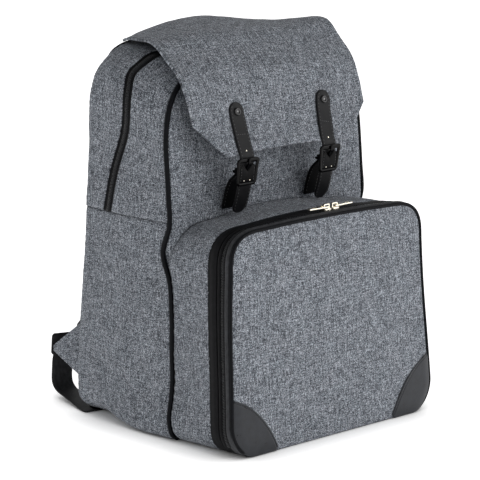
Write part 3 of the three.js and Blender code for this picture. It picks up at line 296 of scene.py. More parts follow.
# Padded pieces: size of their even mesh, pressure, longest way that a point may move; frames to settle
BACK_PUFF = (6, 2.5, 5)
SHOULDER_PUFF = (5, 4, 5)
SETTLE_FRAMES = 20
BACK_PAD = dict(inset=2.6, thickness=7.0, rim_share=0.35, rim=(2, 16), pinned=(3, 14),
                quilt=1.3, quilt_x=62, quilt_reach=4, quilt_from=(30, 60))

# Shoulder strap: x outwards, y, z, width
SHOULDER_ROWS = ((40, 118.1, 393, 56), (42, 130, 380, 60), (47, 152, 345, 62), (54, 166, 285, 62),
                 (58, 172, 220, 58), (59, 176, 160, 50), (61, 181, 118, 40), (68.5, 185.2, 97, 33),
                 (76.5, 188, 85, 30))
SHOULDER_PAD = dict(thickness=8.0, steps=80, crown=0.3, round_edge=0.12, pinned=(12, 40))
SHOULDER_TILT = (0.6, 0.75)
WEBBING_WIDTH = 25
WEBBING_THICKNESS = 1.6
WEBBING_SLANT = 0.25
WEBBING_CORNER = 5
WEBBING_END = 2.0
WEBBING_STEPS = 90
LOCK_AT = (86.3, 190, 73)
WEBBING_ROUTE = ((97.3, 191.5, 62.1), (103.7, 192.4, 58.6), (118, 193.8, 58.6), (140, 195.6, 60.0))
TAIL_ROUTE = ((92.5, 198.6, 60), (107, 200.6, 54), (119, 201.2, 42), (121.5, 201, 28), (121.8, 200.6, 12),
              (123, 193, 5.5), (127, 173, 2), (131, 153, -0.5), (135, 134, -3.2), (136.5, 124, -3.4))
TAIL_ACROSS = (0.95, 0.3, 0)
TAB = dict(x=148.5, top_z=106.5, low_z=22.5, tip_x=138, tip_y=194, tip_z=56, tip_height=6, thickness=2.6,
           tuck=3, sink=17, grid=(25, 21))

# Pieces carried over from the solids, with their looks and the width of their bevels
HARD_NODES = {"zip_slider": "bright_metal", "zip_pull": "bright_metal", "buckle_prong": "black_metal",
              "ladder_lock": "black_plastic"}
BEVEL = 0.35

# Melange cloth in metres: pitch of the yarns, lengths of their dashes along the warp and the weft, share of
# the long dashes, and how far and over what distance the yarns wander
YARN_PITCH = 0.0005
YARN_DASHES = dict(short=(0.0009, 0.0009), long=(0.007, 0.006))
LONG_SHARE = 0.36
WEFT_SHARE = 0.45
YARN_DRIFT = 0.001
YARN_SWAY = 0.03
# Its dark, middle and light tones as screen values
CLOTH_TONES = ((22, 24, 28), (88, 92, 99), (178, 183, 190))
# Reach of the painted shade in creases and beside other pieces, in metres
CREASE_REACH = 0.003
# Sockets of a colour mixing node
MIX_SHARE, MIX_A, MIX_B, MIX_RESULT = 0, 6, 7, 2


def lerp(a, b, f):
    return a + (b - a) * f


def smooth(start, end, value):
    f = np.clip((value - start) / (end - start), 0, 1)
    return f * f * (3 - 2 * f)


def bell(offset, reach):
    return np.exp(-((offset / reach) ** 2))


def table(rows, value):
    """A table of (key, value) rows read along a smooth curve."""
    keys, values = np.array(rows, float).T
    slopes = np.gradient(values, keys)
    i = np.clip(np.searchsorted(keys, value) - 1, 0, len(keys) - 2)
    span = keys[i + 1] - keys[i]
    f = np.clip((value - keys[i]) / span, 0, 1)
    rest = 1 - f
    ends = values[i] * rest ** 2 * (1 + 2 * f) + values[i + 1] * f ** 2 * (1 + 2 * rest)
    return ends + span * f * rest * (slopes[i] * rest - slopes[i + 1] * f)


def mix_rows(a, b, f):
    return {key: lerp(a[key], b[key], f) for key in a}


def unit(vectors):
    return vectors / np.maximum(np.linalg.norm(vectors, axis=-1, keepdims=True), 1e-9)


def running_sum(steps):
    return np.concatenate([[0], np.cumsum(steps)])


def lengths_along(path):
    """Distance of each point of a path from its start."""
    return running_sum(np.linalg.norm(np.diff(path, axis=0), axis=1))


def spline_keys(rows):
    """Places of rows along a smooth curve through their first three columns."""
    return running_sum(np.linalg.norm(np.diff(rows[:, :3], axis=0), axis=1) ** 0.5)


def at_lengths(path, along, at):
    """Columns of a path at given distances from its start."""
    return np.stack([np.interp(at, along, column) for column in path.T], axis=-1)


# Outline, body and case surfaces


def outline(row, h):
    """Half an outline: x and z at place h."""
    stretch = np.clip(np.floor(h), 0, APEX - 1)
    f = h - stretch
    quarter = f * np.pi / 2
    flat_half = row["half_bottom"] - row["corner_x"]
    side_z = BASE_Z + row["corner_z"]
    top_half = row["half_top"] - row["shoulder_x"]
    top_z = row["shoulder_z"] + row["shoulder_rise"]
    lower_z = lerp(side_z, row["seam_z"], f)
    upper_z = lerp(row["seam_z"], row["shoulder_z"], f)

    def side_half(z):
        return lerp(row["half_bottom"], row["half_top"], (z - side_z) / (row["shoulder_z"] - side_z))

    bend = 2 / row["power"]
    shoulder_x = top_half + row["shoulder_x"] * np.maximum(np.cos(quarter), 0) ** bend
    shoulder_z = row["shoulder_z"] + row["shoulder_rise"] * np.maximum(np.sin(quarter), 0) ** bend
    apex_drop = (row["apex_z"] - top_z) * (1 - f) ** 2
    stretches = [stretch == i for i in range(APEX)]
    x = np.select(stretches, [
        flat_half * f, flat_half + row["corner_x"] * np.sin(quarter), side_half(lower_z), side_half(upper_z),
        shoulder_x, top_half * (1 - f)])
    z = np.select(stretches, [
        BASE_Z + 0 * f, BASE_Z + row["corner_z"] * (1 - np.cos(quarter)), lower_z, upper_z,
        shoulder_z, row["apex_z"] - apex_drop])
    return x, z


def outline_normal(row, h):
    x0, z0 = outline(row, np.maximum(h - NORMAL_STEP, BASE_MIDDLE))
    x1, z1 = outline(row, np.minimum(h + NORMAL_STEP, APEX))
    length = np.hypot(x1 - x0, z1 - z0)
    return (z1 - z0) / length, -(x1 - x0) / length


def proud_at(h, amount):
    return amount * smooth(PROUD_FROM, CORNER_END, h)


def beside_base(h):
    """0 under the bag, 1 from its lower corners up."""
    return smooth(CORNER_START - 0.5, CORNER_START, h)


def swell_at(swell, h):
    rise = smooth(swell["start"], swell["full"], h)
    return swell["amount"] * rise * (1 - smooth(swell["fade"], swell["end"], h))


def body_row(t):
    row = mix_rows(BODY_FRONT, BODY_REAR, t)
    for key, column in (("corner_x", 1), ("corner_z", 2)):
        row[key] = table([(corner[0], corner[column]) for corner in LOWER_CORNERS], t)
    return row


def edge_wave(z):
    """How far the body's lower front edge and the case's rear edge stand out."""
    return sum(amount * bell(z - height, reach) for height, reach, amount in EDGE_WAVES)


def body_point(side, h, t, inset=0.0):
    """Body walls: h runs along the outline, t from the front edge to the back edge."""
    row = body_row(t)
    x, z = outline(row, h)
    nx, nz = outline_normal(row, h)
    window = swell_at(SIDE_SWELL, h) / SIDE_SWELL["amount"]
    folds = sum(depth * bell(t - across, reach_t) * bell(z - height, reach_z)
                for across, height, reach_t, reach_z, depth in SIDE_FOLDS)
    swell = swell_at(SHOULDER_SWELL, h) + swell_at(SIDE_SWELL, h)
    lift = 4 * t * (1 - t) * swell - folds * window - inset
    x = x + edge_wave(z) * (1 - smooth(0, EDGE_WAVE_END, t)) * beside_base(h)
    front = table(FRONT_EDGE, outline(BODY_FRONT, h)[1])
    back = table(BACK_EDGE, outline(BODY_REAR, h)[1])
    return np.stack([side * (x + nx * lift), lerp(front, back, t), z + nz * lift], axis=-1)


def body_depth(h):
    return body_point(1.0, h, 1.0 + 0 * h)[..., 1] - body_point(1.0, h, 0 * h)[..., 1]


def rear_turn(h, t):
    """How far the cloth turns in and stands back at its rear edge."""
    free = 1 - smooth(*REAR_TURN["fade"], h)
    near = np.clip((t - 1) * body_depth(h) / REAR_TURN["reach"] + 1, 0, 1)
    inset = REAR_TURN["inset"] * (1 - np.sqrt(1 - near ** 2)) * free
    push = lerp(REAR_TURN["low_push"], REAR_TURN["push"], smooth(CORNER_END, SEAM, h))
    return inset, push * smooth(REAR_TURN["push_from"], 1, t) * free


def soft_body_point(side, h, t, inset=0.0):
    """Body walls with their rear edge turned in."""
    turned, push = rear_turn(h, t)
    full = REAR_TURN["swell"] * bell(h - REAR_TURN["swell_at"], REAR_TURN["swell_reach"])
    full = full * smooth(*REAR_TURN["swell_rise"], t)
    points = body_point(side, h, t, inset + turned - full)
    points[..., 1] += push
    return points


def body_front_y(x, z, half):
    edge = np.clip((np.abs(x) / half - EDGE_BLEND_START) / (1 - EDGE_BLEND_START), 0, 1)
    return lerp(table(FRONT_PANEL_DEPTH, z), table(FRONT_EDGE, z), edge)


def case_front_y(z):
    return CASE_FRONT_Y + CASE_LEAN * z


def case_sway(z, d=0.0):
    """The soft case leans to the left at half its height."""
    return -CASE_SWAY["amount"] * bell(z - CASE_SWAY["height"], CASE_SWAY["reach"]) * (1 - d / CASE_DEPTH)


def case_point(side, h, d, inset=0.0):
    """Case walls: h runs along the outline, d is the depth behind the front edge."""
    row = mix_rows(CASE_FRONT, CASE_REAR, np.clip(d / CASE_DEPTH, 0, 1))
    x, z = outline(row, h)
    nx, nz = outline_normal(row, h)
    x = x + edge_wave(z) * smooth(CASE_WAVE_FROM, 1, d / CASE_DEPTH) * beside_base(h)
    return np.stack([side * (x - nx * inset) + case_sway(z, d), case_front_y(z) + d, z - nz * inset], axis=-1)


def case_panel_bulge(x, z):
    wide = np.clip(1 - (x / CASE_BULGE["half"]) ** 2, 0, 1)
    high = np.clip(1 - ((z - CASE_BULGE["centre_z"]) / CASE_BULGE["reach_z"]) ** 2, 0, 1)
    return CASE_BULGE["amount"] * wide * high


def half_walk(start, end):
    stretches = [np.linspace(i, i + 1, n, endpoint=False) for i, n in enumerate(STRETCH_STEPS)]
    places = np.concatenate(stretches)
    inner = places[(places > start + 1e-6) & (places < end - 1e-6)]
    return np.concatenate([[start], inner, [end]])


def arch_walk(start):
    """Up the left side, over the top and down the right side: sides and places."""
    h = half_walk(start, APEX)
    return np.repeat([-1.0, 1.0], [len(h), len(h) - 1]), np.concatenate([h, h[-2::-1]])


def cradle_walk(end):
    """Down the left side, under the base and up the right side: sides and places."""
    h = half_walk(BASE_MIDDLE, end)
    return np.repeat([-1.0, 1.0], [len(h), len(h) - 1]), np.concatenate([h[::-1], h[1:]])


def ring_walk():
    sides, h = arch_walk(BASE_MIDDLE)
    return sides[:-1], h[:-1]


# Meshes


def grid_normals(points, inside, closed=False):
    """Normals of a grid that look away from a point inside, and whether they were turned for that."""
    if closed:
        along = np.roll(points, -1, 0) - np.roll(points, 1, 0)
    else:
        along = np.gradient(points, axis=0)
    normals = unit(np.cross(along, np.gradient(points, axis=1)))
    turned = ((points - np.array(inside)) * normals).sum(-1).mean() < 0
    return (-normals if turned else normals), turned


def out_normals(points, inside, closed=False):
    return grid_normals(points, inside, closed)[0]


def grid_faces(rows, columns, closed=False, looped=False):
    """Faces of a grid; closed joins its last row to its first, looped its last column to its first."""
    i = np.arange(rows if closed else rows - 1)[:, None]
    j = np.arange(columns if looped else columns - 1)[None]
    after, beside = (i + 1) % rows, (j + 1) % columns
    corners = [i * columns + j, after * columns + j, after * columns + beside, i * columns + beside]
    return np.stack(corners, axis=-1).reshape(-1, 4)


def tube_faces(rows, columns, closed=False):
    """Faces of a swept closed profile with open ends, which look the other way."""
    return grid_faces(rows, columns, closed, looped=True)[:, [0, 3, 2, 1]]


def loop_faces(rows, columns, closed=False):
    """Faces of a swept closed profile, with its ends capped unless they meet."""
    faces = tube_faces(rows, columns, closed).tolist()
    if not closed:
        faces.append(list(range(columns))[::-1])
        faces.append([(rows - 1) * columns + k for k in range(columns)])
    return faces


def row_lengths(points):
    """Mean distance of each row of a grid from its first row."""
    return running_sum(np.linalg.norm(np.diff(points, axis=0), axis=-1).mean(1))


def column_lengths(points):
    """Distance of each point of a grid from the start of its row."""
    steps = np.linalg.norm(np.diff(points, axis=1), axis=-1)
    return np.concatenate([np.zeros((len(points), 1)), np.cumsum(steps, axis=1)], axis=1)


def weave_uv(u, v):
    """Coordinates of the weave in metres from lengths in millimetres."""
    return np.stack(np.broadcast_arrays(u, v), axis=-1).reshape(-1, 2) * MM


def grid_uv(points):
    across = column_lengths(points)
    return weave_uv(row_lengths(points)[:, None], across - across.mean(1, keepdims=True))


def loop_uv(points, profile):
    profile = np.broadcast_to(np.array(profile, float), points.shape[:2] + (2,))
    return weave_uv(lengths_along(points.mean(1))[:, None], profile[..., 0])


def smooth_woven(mesh, uv=None):
    """Smooth shading, and weave coordinates from one row for each point."""
    if uv is not None:
        layer = mesh.uv_layers.new(name="weave")
        corners = np.zeros(len(mesh.loops), np.int32)
        mesh.loops.foreach_get("vertex_index", corners)
        layer.data.foreach_set("uv", uv[corners].astype(np.float32).ravel())
    mesh.polygons.foreach_set("use_smooth", np.ones(len(mesh.polygons), bool))


def make_piece(name, points, faces, slot, look=None, uv=None, replaces=(), sharp=None):
    mesh = bpy.data.meshes.new(name)
    placed = (points.reshape(-1, 3) + np.array([0, 0, LIFT])) * MM
    mesh.from_pydata(placed.tolist(), [], [list(map(int, face)) for face in faces])
    smooth_woven(mesh, uv)
    if sharp is not None:
        mesh.set_sharp_from_angle(angle=math.radians(sharp))
    mesh.materials.append(LOOKS[look or slot])
    obj = bpy.data.objects.new(name, mesh)
    bpy.context.scene.collection.objects.link(obj)
    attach(obj, BODY)
    if replaces:
        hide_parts(*replaces)
    return obj


def cloth_sheet(name, points, slot, thickness, inside, closed=False, uv=None, **options):
    """A cloth wall from a grid of points on its outer face; its inner face looks to a point inside."""
    faces = grid_faces(*points.shape[:2], closed)
    if grid_normals(points, inside, closed)[1]:
        faces = faces[:, ::-1]
    obj = make_piece(name, points, faces, slot, uv=grid_uv(points) if uv is None else uv, **options)
    wall = obj.modifiers.new("wall", "SOLIDIFY")
    wall.thickness = thickness * MM
    wall.offset = -1
    return obj


def tangents_of(path, closed=False):
    if closed:
        return unit(np.roll(path, -1, 0) - np.roll(path, 1, 0))
    return unit(np.gradient(path, axis=0))


def resample(path, step, closed=False):
    line = np.vstack([path, path[:1]]) if closed else path
    along = lengths_along(line)
    count = max(2, int(round(along[-1] / step)) + 1)
    points = at_lengths(line, along, np.linspace(0, along[-1], count))
    return points[:-1] if closed else points


def spline(rows, count):
    """Smooth curve through rows of any number of columns, evenly spaced by its first three."""
    rows = np.array(rows, float)
    keys = spline_keys(rows)
    fine = np.linspace(0, keys[-1], 40 * len(rows))
    curve = np.stack([table(np.stack([keys, column], 1), fine) for column in rows.T], axis=1)
    along = lengths_along(curve[:, :3])
    return at_lengths(curve, along, np.linspace(0, along[-1], count))


def across_frames(path, across):
    """Side and face directions of a band along a path."""
    along = tangents_of(path)
    across = np.broadcast_to(np.array(across, float), path.shape)
    side = unit(across - along * (across * along).sum(-1, keepdims=True))
    return side, unit(np.cross(along, side))


def sweep(path, side, face, profile):
    """Points of a profile of (across, out) rows carried along a path; it may change along the path."""
    profile = np.array(profile, float)
    profile = np.broadcast_to(profile, (len(path),) + profile.shape[-2:])
    return path[:, None] + profile[..., :1] * side[:, None] + profile[..., 1:] * face[:, None]


def band_profile(width, thickness, crown=0.0, round_edge=0.45):
    """Rounded flat section of a strap, as (across, out) rows."""
    half, thick = width / 2, thickness / 2
    edge = thick * round_edge * 2
    flat = np.linspace(-half + edge, half - edge, 7)
    lift = thick * (1 + crown * (1 - (flat / half) ** 2))
    turn = np.linspace(np.pi / 2, -np.pi / 2, 6)[1:-1]
    right = np.stack([half - edge + edge * np.cos(turn), thick * np.sin(turn)], 1)
    left = -right
    return np.vstack([np.stack([flat, lift], 1), right, np.stack([flat[::-1], -lift], 1), left])


def varied(profile, widths, thickness=1.0):
    """A profile for each point of a band, from its width and thickness there."""
    return profile[None] * np.stack([widths, 0 * widths + thickness], 1)[:, None]


def band(name, path, across, profile, slot, **options):
    points = sweep(path, *across_frames(path, across), profile)
    faces = loop_faces(*points.shape[:2])
    return make_piece(name, points, faces, slot, uv=loop_uv(points, profile), sharp=50, **options)


def round_angles(sides):
    return np.linspace(0, 2 * np.pi, sides, endpoint=False)


def piping_cord(name, path, radius):
    """Cloth-covered cord along a closed path, in place of a piping."""
    path = resample(path, CORD_STEP, closed=True)
    along = tangents_of(path, closed=True)
    side = unit(np.cross(along, np.array([0.0, 1.0, 0.0])))
    angles = round_angles(CORD_SIDES)
    profile = radius * np.stack([np.cos(angles), np.sin(angles)], 1)
    points = sweep(path, side, np.cross(side, along), profile)
    uv = loop_uv(points, np.stack([angles * radius, angles], 1))
    faces = loop_faces(*points.shape[:2], closed=True)
    make_piece(name + "_cord", points, faces, "piping", uv=uv, replaces=[name])


def stitches(name, paths, outs, slot, size, look="thread"):
    """Rows of short threads along paths; outs gives the way out of the cloth at each path's points."""
    length, gap, radius = STITCHES[size]
    places, shares = np.array(STITCH_RINGS).T[..., None, None]
    dips = -STITCH_SINK - radius * STITCH_DIP * (1 - shares)
    angles = round_angles(STITCH_SIDES)[:, None]
    threads = []
    for path, out in zip(paths, outs):
        along = lengths_along(path)
        for start in np.arange(gap / 2, along[-1] - length, length + gap):
            first, last = at_lengths(path, along, np.array([start, start + length]))
            way = unit(at_lengths(out, along, start))
            beside = unit(np.cross(unit(last - first), way))
            ring = beside * np.cos(angles) + way * np.sin(angles)
            threads.append(lerp(first, last, places) + way * dips + radius * shares * ring)
    faces = tube_faces(len(STITCH_RINGS), STITCH_SIDES)
    firsts = np.arange(len(threads))[:, None, None] * len(STITCH_RINGS) * STITCH_SIDES
    return make_piece(name, np.array(threads), (firsts + faces).reshape(-1, 4), slot, look=look)


def zip_teeth(name, path, across, out, **options):
    """Two rows of small rounded teeth that interlock along a path."""
    spaced = resample(path, TOOTH_PITCH / 2)
    nearest = np.linspace(0, len(path) - 1, len(spaced)).round().astype(int)
    along = tangents_of(spaced)
    side, face = unit(across[nearest]), unit(out[nearest])
    box = np.array([(x, y, z) for x in (-1, 1) for y in (-1, 1) for z in (-1, 1)], float)
    box[box[:, 2] > 0, :2] *= TOOTH["taper"]
    box *= np.array([TOOTH_PITCH * TOOTH["length"], CHAIN_WIDTH * TOOTH["width"], TOOTH["height"]])
    shift = np.where(np.arange(len(spaced)) % 2 == 0, 1, -1)[:, None] * CHAIN_WIDTH * TOOTH["shift"]
    centre = spaced + side * shift + face * TOOTH["lift"]
    points = centre[:, None] + box @ np.stack([along, side, face], axis=1)
    faces = (np.arange(len(spaced))[:, None, None] * len(box) + np.array(TOOTH_FACES)).reshape(-1, 4)
    return make_piece(name, points, faces, "black_cloth", look="zip_coil", **options)


def ruffled(points, size, depth, seed):
    """Uneven cloth: soft noise of a given size and depth at each point."""
    flat = points.reshape(-1, 3) / size
    values = [noise.noise(Vector((x + seed, y, z))) for x, y, z in flat]
    return depth * np.array(values).reshape(points.shape[:-1])


def creased(points, creases):
    total = np.zeros(points.shape[:-1])
    for at, along, across, length, width, depth in creases:
        offset = points - np.array(at, float)
        far = offset @ unit(np.array(along, float))
        beside = offset @ unit(np.array(across, float)) / width
        ridge = CREASE_RIDGE["share"] * bell(beside - CREASE_RIDGE["offset"], 1)
        total += depth * bell(far, length) * (bell(beside, 1) - ridge)
    return total


# Materials


def node(tree, kind, inputs=None, **settings):
    """A shader node; an input is a number, a colour or a socket of another node."""
    made = tree.nodes.new(kind)
    for key, value in settings.items():
        setattr(made, key, value)
    for key, value in (inputs or {}).items():
        if isinstance(value, bpy.types.NodeSocket):
            tree.links.new(value, made.inputs[key])
        else:
            made.inputs[key].default_value = value
    return made


def new_look(name, sockets):
    look = bpy.data.materials.new(name)
    look.use_nodes = True
    shader = look.node_tree.nodes["Principled BSDF"]
    for key, value in sockets.items():
        shader.inputs[key].default_value = value
    return look, look.node_tree, shader


def grey(r, g, b):
    """A colour from its screen values, 0 to 255."""
    shares = [c / 255 for c in (r, g, b)]
    linear = [c / 12.92 if c <= 0.04045 else ((c + 0.055) / 1.055) ** 2.4 for c in shares]
    return (*linear, 1.0)


def scaled(color, share):
    return tuple(c * share for c in color[:3]) + (1.0,)


def even(value):
    """A grey of one linear value."""
    return (value, value, value, 1.0)


def weave_place(tree):
    return node(tree, "ShaderNodeUVMap", uv_map="weave").outputs["UV"]


def object_place(tree):
    return node(tree, "ShaderNodeTexCoord").outputs["Object"]


def math_node(tree, operation, *values):
    return node(tree, "ShaderNodeMath", dict(enumerate(values)), operation=operation).outputs[0]


def noise_at(tree, place, cell, detail):
    """Noise of a cell size in metres, which may differ along and across the cloth."""
    laid = node(tree, "ShaderNodeMapping", {"Vector": place, "Scale": tuple(1 / c for c in cell)})
    settings = {"Vector": laid.outputs["Vector"], "Scale": 1.0, "Detail": detail, "Roughness": 0.55}
    return node(tree, "ShaderNodeTexNoise", settings).outputs["Fac"]


def ramp(tree, value, *stops):
    made = node(tree, "ShaderNodeValToRGB", {"Fac": value})
    elements = made.color_ramp.elements
    while len(elements) < len(stops):
        elements.new(0.5)
    for element, (position, color) in zip(elements, stops):
        element.position = position
        element.color = color
    return made.outputs["Color"]


def blend(tree, mode, share, a, b):
    inputs = {MIX_SHARE: share, MIX_A: a, MIX_B: b}
    return node(tree, "ShaderNodeMix", inputs, data_type="RGBA", blend_type=mode).outputs[MIX_RESULT]


def bump(tree, shader, *layers):
    """Bump layers of (height, strength, distance in metres), the last one on top."""
    normal = None
    for height, strength, distance in layers:
        settings = {"Height": height, "Strength": strength, "Distance": distance}
        if normal is not None:
            settings["Normal"] = normal
        normal = node(tree, "ShaderNodeBump", settings).outputs["Normal"]
    tree.links.new(normal, shader.inputs["Normal"])


def openness(tree, reach):
    """How open the surroundings of a surface are within a reach in metres."""
    return node(tree, "ShaderNodeAmbientOcclusion", {"Distance": reach}, samples=8).outputs["AO"]


def painted_crease_shade(tree, color, darkest):
    """Painted shade: a colour that darkens where the surface lies in a crease or close to another piece."""
    open_share = openness(tree, CREASE_REACH)
    shade = ramp(tree, open_share, (0.35, even(darkest)), (0.8, even(1)))
    return blend(tree, "MULTIPLY", 1.0, color, shade), open_share


def yarn_tone(tree, place, length, seed, turn):
    """Random tone of each dash of the yarns; turn is the angle that lays them along the warp or the weft."""
    scale = (1 / length, 1 / YARN_PITCH, 1)
    turned = node(tree, "ShaderNodeMapping",
                  {"Vector": place, "Rotation": (0, 0, turn), "Location": (seed, 0, 0)})
    laid = node(tree, "ShaderNodeMapping", {"Vector": turned.outputs["Vector"], "Scale": scale})
    split = node(tree, "ShaderNodeSeparateXYZ", {"Vector": laid.outputs["Vector"]})
    row = math_node(tree, "FLOOR", split.outputs["Y"])
    start = node(tree, "ShaderNodeTexWhiteNoise", {"W": row}, noise_dimensions="1D").outputs["Value"]
    dash = math_node(tree, "FLOOR", math_node(tree, "ADD", split.outputs["X"], start))
    cell = node(tree, "ShaderNodeCombineXYZ", {"X": dash, "Y": row, "Z": seed}).outputs["Vector"]
    return node(tree, "ShaderNodeTexWhiteNoise", {"Vector": cell}, noise_dimensions="3D").outputs["Value"]


def yarn_layer(tree, place, dashes, seed):
    warp = yarn_tone(tree, place, dashes[0], seed, 0.0)
    weft = yarn_tone(tree, place, dashes[1], seed + 1, math.pi / 2)
    return blend(tree, "MIX", WEFT_SHARE, warp, weft)


def melange_look(name, tones):
    """Grey melange cloth: light and dark yarns in dashes along the warp and the weft of a plain weave."""
    look, tree, shader = new_look(name, {"Roughness": 0.95, "Sheen Weight": 0.06, "Sheen Roughness": 0.6,
                                         "Specular IOR Level": 0.1})
    place = weave_place(tree)
    sway = node(tree, "ShaderNodeTexNoise", {"Vector": place, "Scale": 1 / YARN_SWAY, "Detail": 1.0})
    swayed = node(tree, "ShaderNodeVectorMath", {0: sway.outputs["Color"], 1: (YARN_DRIFT,) * 3, 2: place},
                  operation="MULTIPLY_ADD").outputs["Vector"]
    short = yarn_layer(tree, swayed, YARN_DASHES["short"], 3.0)
    long = yarn_layer(tree, swayed, YARN_DASHES["long"], 5.0)
    dark, middle, light = tones
    yarns = blend(tree, "MIX", LONG_SHARE, short, long)
    woven = ramp(tree, yarns, (0.2, dark), (0.5, middle), (0.8, light))
    mottle = noise_at(tree, place, (0.02, 0.02, 1), detail=3.0)
    patches = ramp(tree, mottle, (0.3, (0.46, 0.475, 0.48, 1)), (0.7, (0.54, 0.525, 0.525, 1)))
    # Painted shade darkens the cloth in its creases and beside other pieces
    shaded, _ = painted_crease_shade(tree, blend(tree, "OVERLAY", 0.5, woven, patches), 0.3)
    tree.links.new(shaded, shader.inputs["Base Color"])
    bump(tree, shader, (long, 0.2, 0.0003), (short, 0.3, 0.0003))
    return look


def tape_look(name, color, rib, shine):
    """Black woven tape with fine ribs across it, rib metres apart."""
    look, tree, shader = new_look(name, {"Roughness": 0.55})
    place = weave_place(tree)
    ribs = node(tree, "ShaderNodeTexWave", {"Vector": place, "Scale": 0.314 / rib, "Distortion": 0.6},
                bands_direction="X").outputs["Fac"]
    worn = noise_at(tree, place, (0.006, 0.003, 1), detail=3.0)
    aged = ramp(tree, worn, (0.3, scaled(color, 0.6)), (0.5, color), (0.75, scaled(color, 1.6)))
    # Painted shade darkens the tape in its grooves and beside other pieces
    shaded, open_share = painted_crease_shade(tree, aged, 0.1)
    tree.links.new(shaded, shader.inputs["Base Color"])
    # The shine also fades in the same painted shade
    glossy = ramp(tree, open_share, (0.5, even(0)), (0.92, even(shine)))
    tree.links.new(glossy, shader.inputs["Specular IOR Level"])
    bump(tree, shader, (worn, 0.2, 0.0004), (ribs, 0.5, 0.0003))
    return look


def leather_look(name, color, grain, roughness, wear, shine):
    """Grained leather with grains of a size in metres, paler where its edges are worn."""
    look, tree, shader = new_look(name, {"Specular IOR Level": shine})
    place = weave_place(tree)
    cells = node(tree, "ShaderNodeTexVoronoi", {"Vector": place, "Scale": 1 / grain},
                 feature="DISTANCE_TO_EDGE").outputs["Distance"]
    cloud = noise_at(tree, place, (0.009, 0.009, 1), detail=4.0)
    edges = node(tree, "ShaderNodeNewGeometry").outputs["Pointiness"]
    base = ramp(tree, cloud, (0.3, scaled(color, 0.72)), (0.5, color), (0.75, scaled(color, 1.35)))
    worn = ramp(tree, edges, (0.52, even(0)), (0.6, even(wear)))
    tree.links.new(blend(tree, "ADD", 1.0, base, worn), shader.inputs["Base Color"])
    rough = ramp(tree, cloud, (0.25, even(roughness - 0.1)), (0.75, even(roughness + 0.1)))
    tree.links.new(rough, shader.inputs["Roughness"])
    bump(tree, shader, (cloud, 0.15, 0.001), (cells, 0.3, 0.0003))
    return look


def hard_look(name, color, roughness, metallic, scratch, shine=0.5):
    """Metal or plastic with uneven shine."""
    look, tree, shader = new_look(name, {"Base Color": color, "Metallic": metallic,
                                         "Specular IOR Level": shine})
    cloud = noise_at(tree, object_place(tree), (0.004, 0.004, 0.004), detail=4.0)
    rough = ramp(tree, cloud, (0.3, even(roughness - scratch)), (0.7, even(roughness + scratch)))
    tree.links.new(rough, shader.inputs["Roughness"])
    bump(tree, shader, (cloud, 0.06, 0.0004))
    return look


def thread_look(name, color):
    look, tree, shader = new_look(name, {"Roughness": 0.6, "Sheen Weight": 0.2})
    twist = noise_at(tree, object_place(tree), (0.0012, 0.0012, 0.0012), detail=1.0)
    tree.links.new(ramp(tree, twist, (0.35, scaled(color, 0.6)), (0.65, color)), shader.inputs["Base Color"])
    bump(tree, shader, (twist, 0.3, 0.0002))
    return look


LOOKS = {
    "cloth": melange_look("melange_cloth", [grey(*tone) for tone in CLOTH_TONES]),
    "black_cloth": tape_look("black_tape", grey(14, 14, 16), rib=0.0012, shine=0.08),
    "webbing": tape_look("webbing_tape", grey(34, 34, 36), rib=0.0016, shine=0.2),
    # A paler copy of the black tape for the case zip's front tape: a painted highlight on its ridges
    "painted_highlight_tape": tape_look("painted_highlight_tape", grey(44, 45, 48), rib=0.0012, shine=0.28),
    "zip_coil": hard_look("zip_coil", grey(18, 19, 22), roughness=0.3, metallic=0.0, scratch=0.06, shine=0.3),
    "piping": tape_look("piping_cloth", grey(7, 8, 12), rib=0.0009, shine=0.1),
    "strap_leather": leather_look("strap_leather", grey(14, 14, 16), grain=0.0016, roughness=0.45, wear=0.01,
                                  shine=0.16),
    "chape_leather": leather_look("chape_leather", grey(7, 7, 8), grain=0.0016, roughness=0.4, wear=0.006,
                                  shine=0.08),
    "patch_leather": leather_look("patch_leather", grey(28, 30, 35), grain=0.0018, roughness=0.34, wear=0.012,
                                  shine=0.32),
    "black_metal": hard_look("black_metal", grey(4, 4, 5), roughness=0.12, metallic=0.0, scratch=0.04,
                             shine=0.1),
    "rivet_metal": hard_look("rivet_metal", grey(10, 10, 12), roughness=0.16, metallic=0.0, scratch=0.04),
    "bright_metal": hard_look("pale_gold_metal", grey(238, 232, 216), roughness=0.2, metallic=1.0,
                              scratch=0.06),
    "black_plastic": hard_look("black_plastic", grey(32, 32, 34), roughness=0.45, metallic=0.0, scratch=0.08),
    "thread": thread_look("black_thread", grey(62, 63, 65)),
    "grey_thread": thread_look("grey_thread", grey(104, 107, 112)),
}


# Main body


def seam_pucker(points, edge, seed):
    """Small waves beside a seam; edge is the distance to it."""
    along = row_lengths(points)
    places = [Vector((s / PUCKER["drift_size"], seed, 0)) for s in along]
    drift = PUCKER["drift"] * np.array([noise.noise(place) for place in places])
    wave = np.sin(2 * np.pi * along / PUCKER["pitch"] + drift)[:, None]
    return PUCKER["depth"] * wave * bell(edge, PUCKER["reach"])


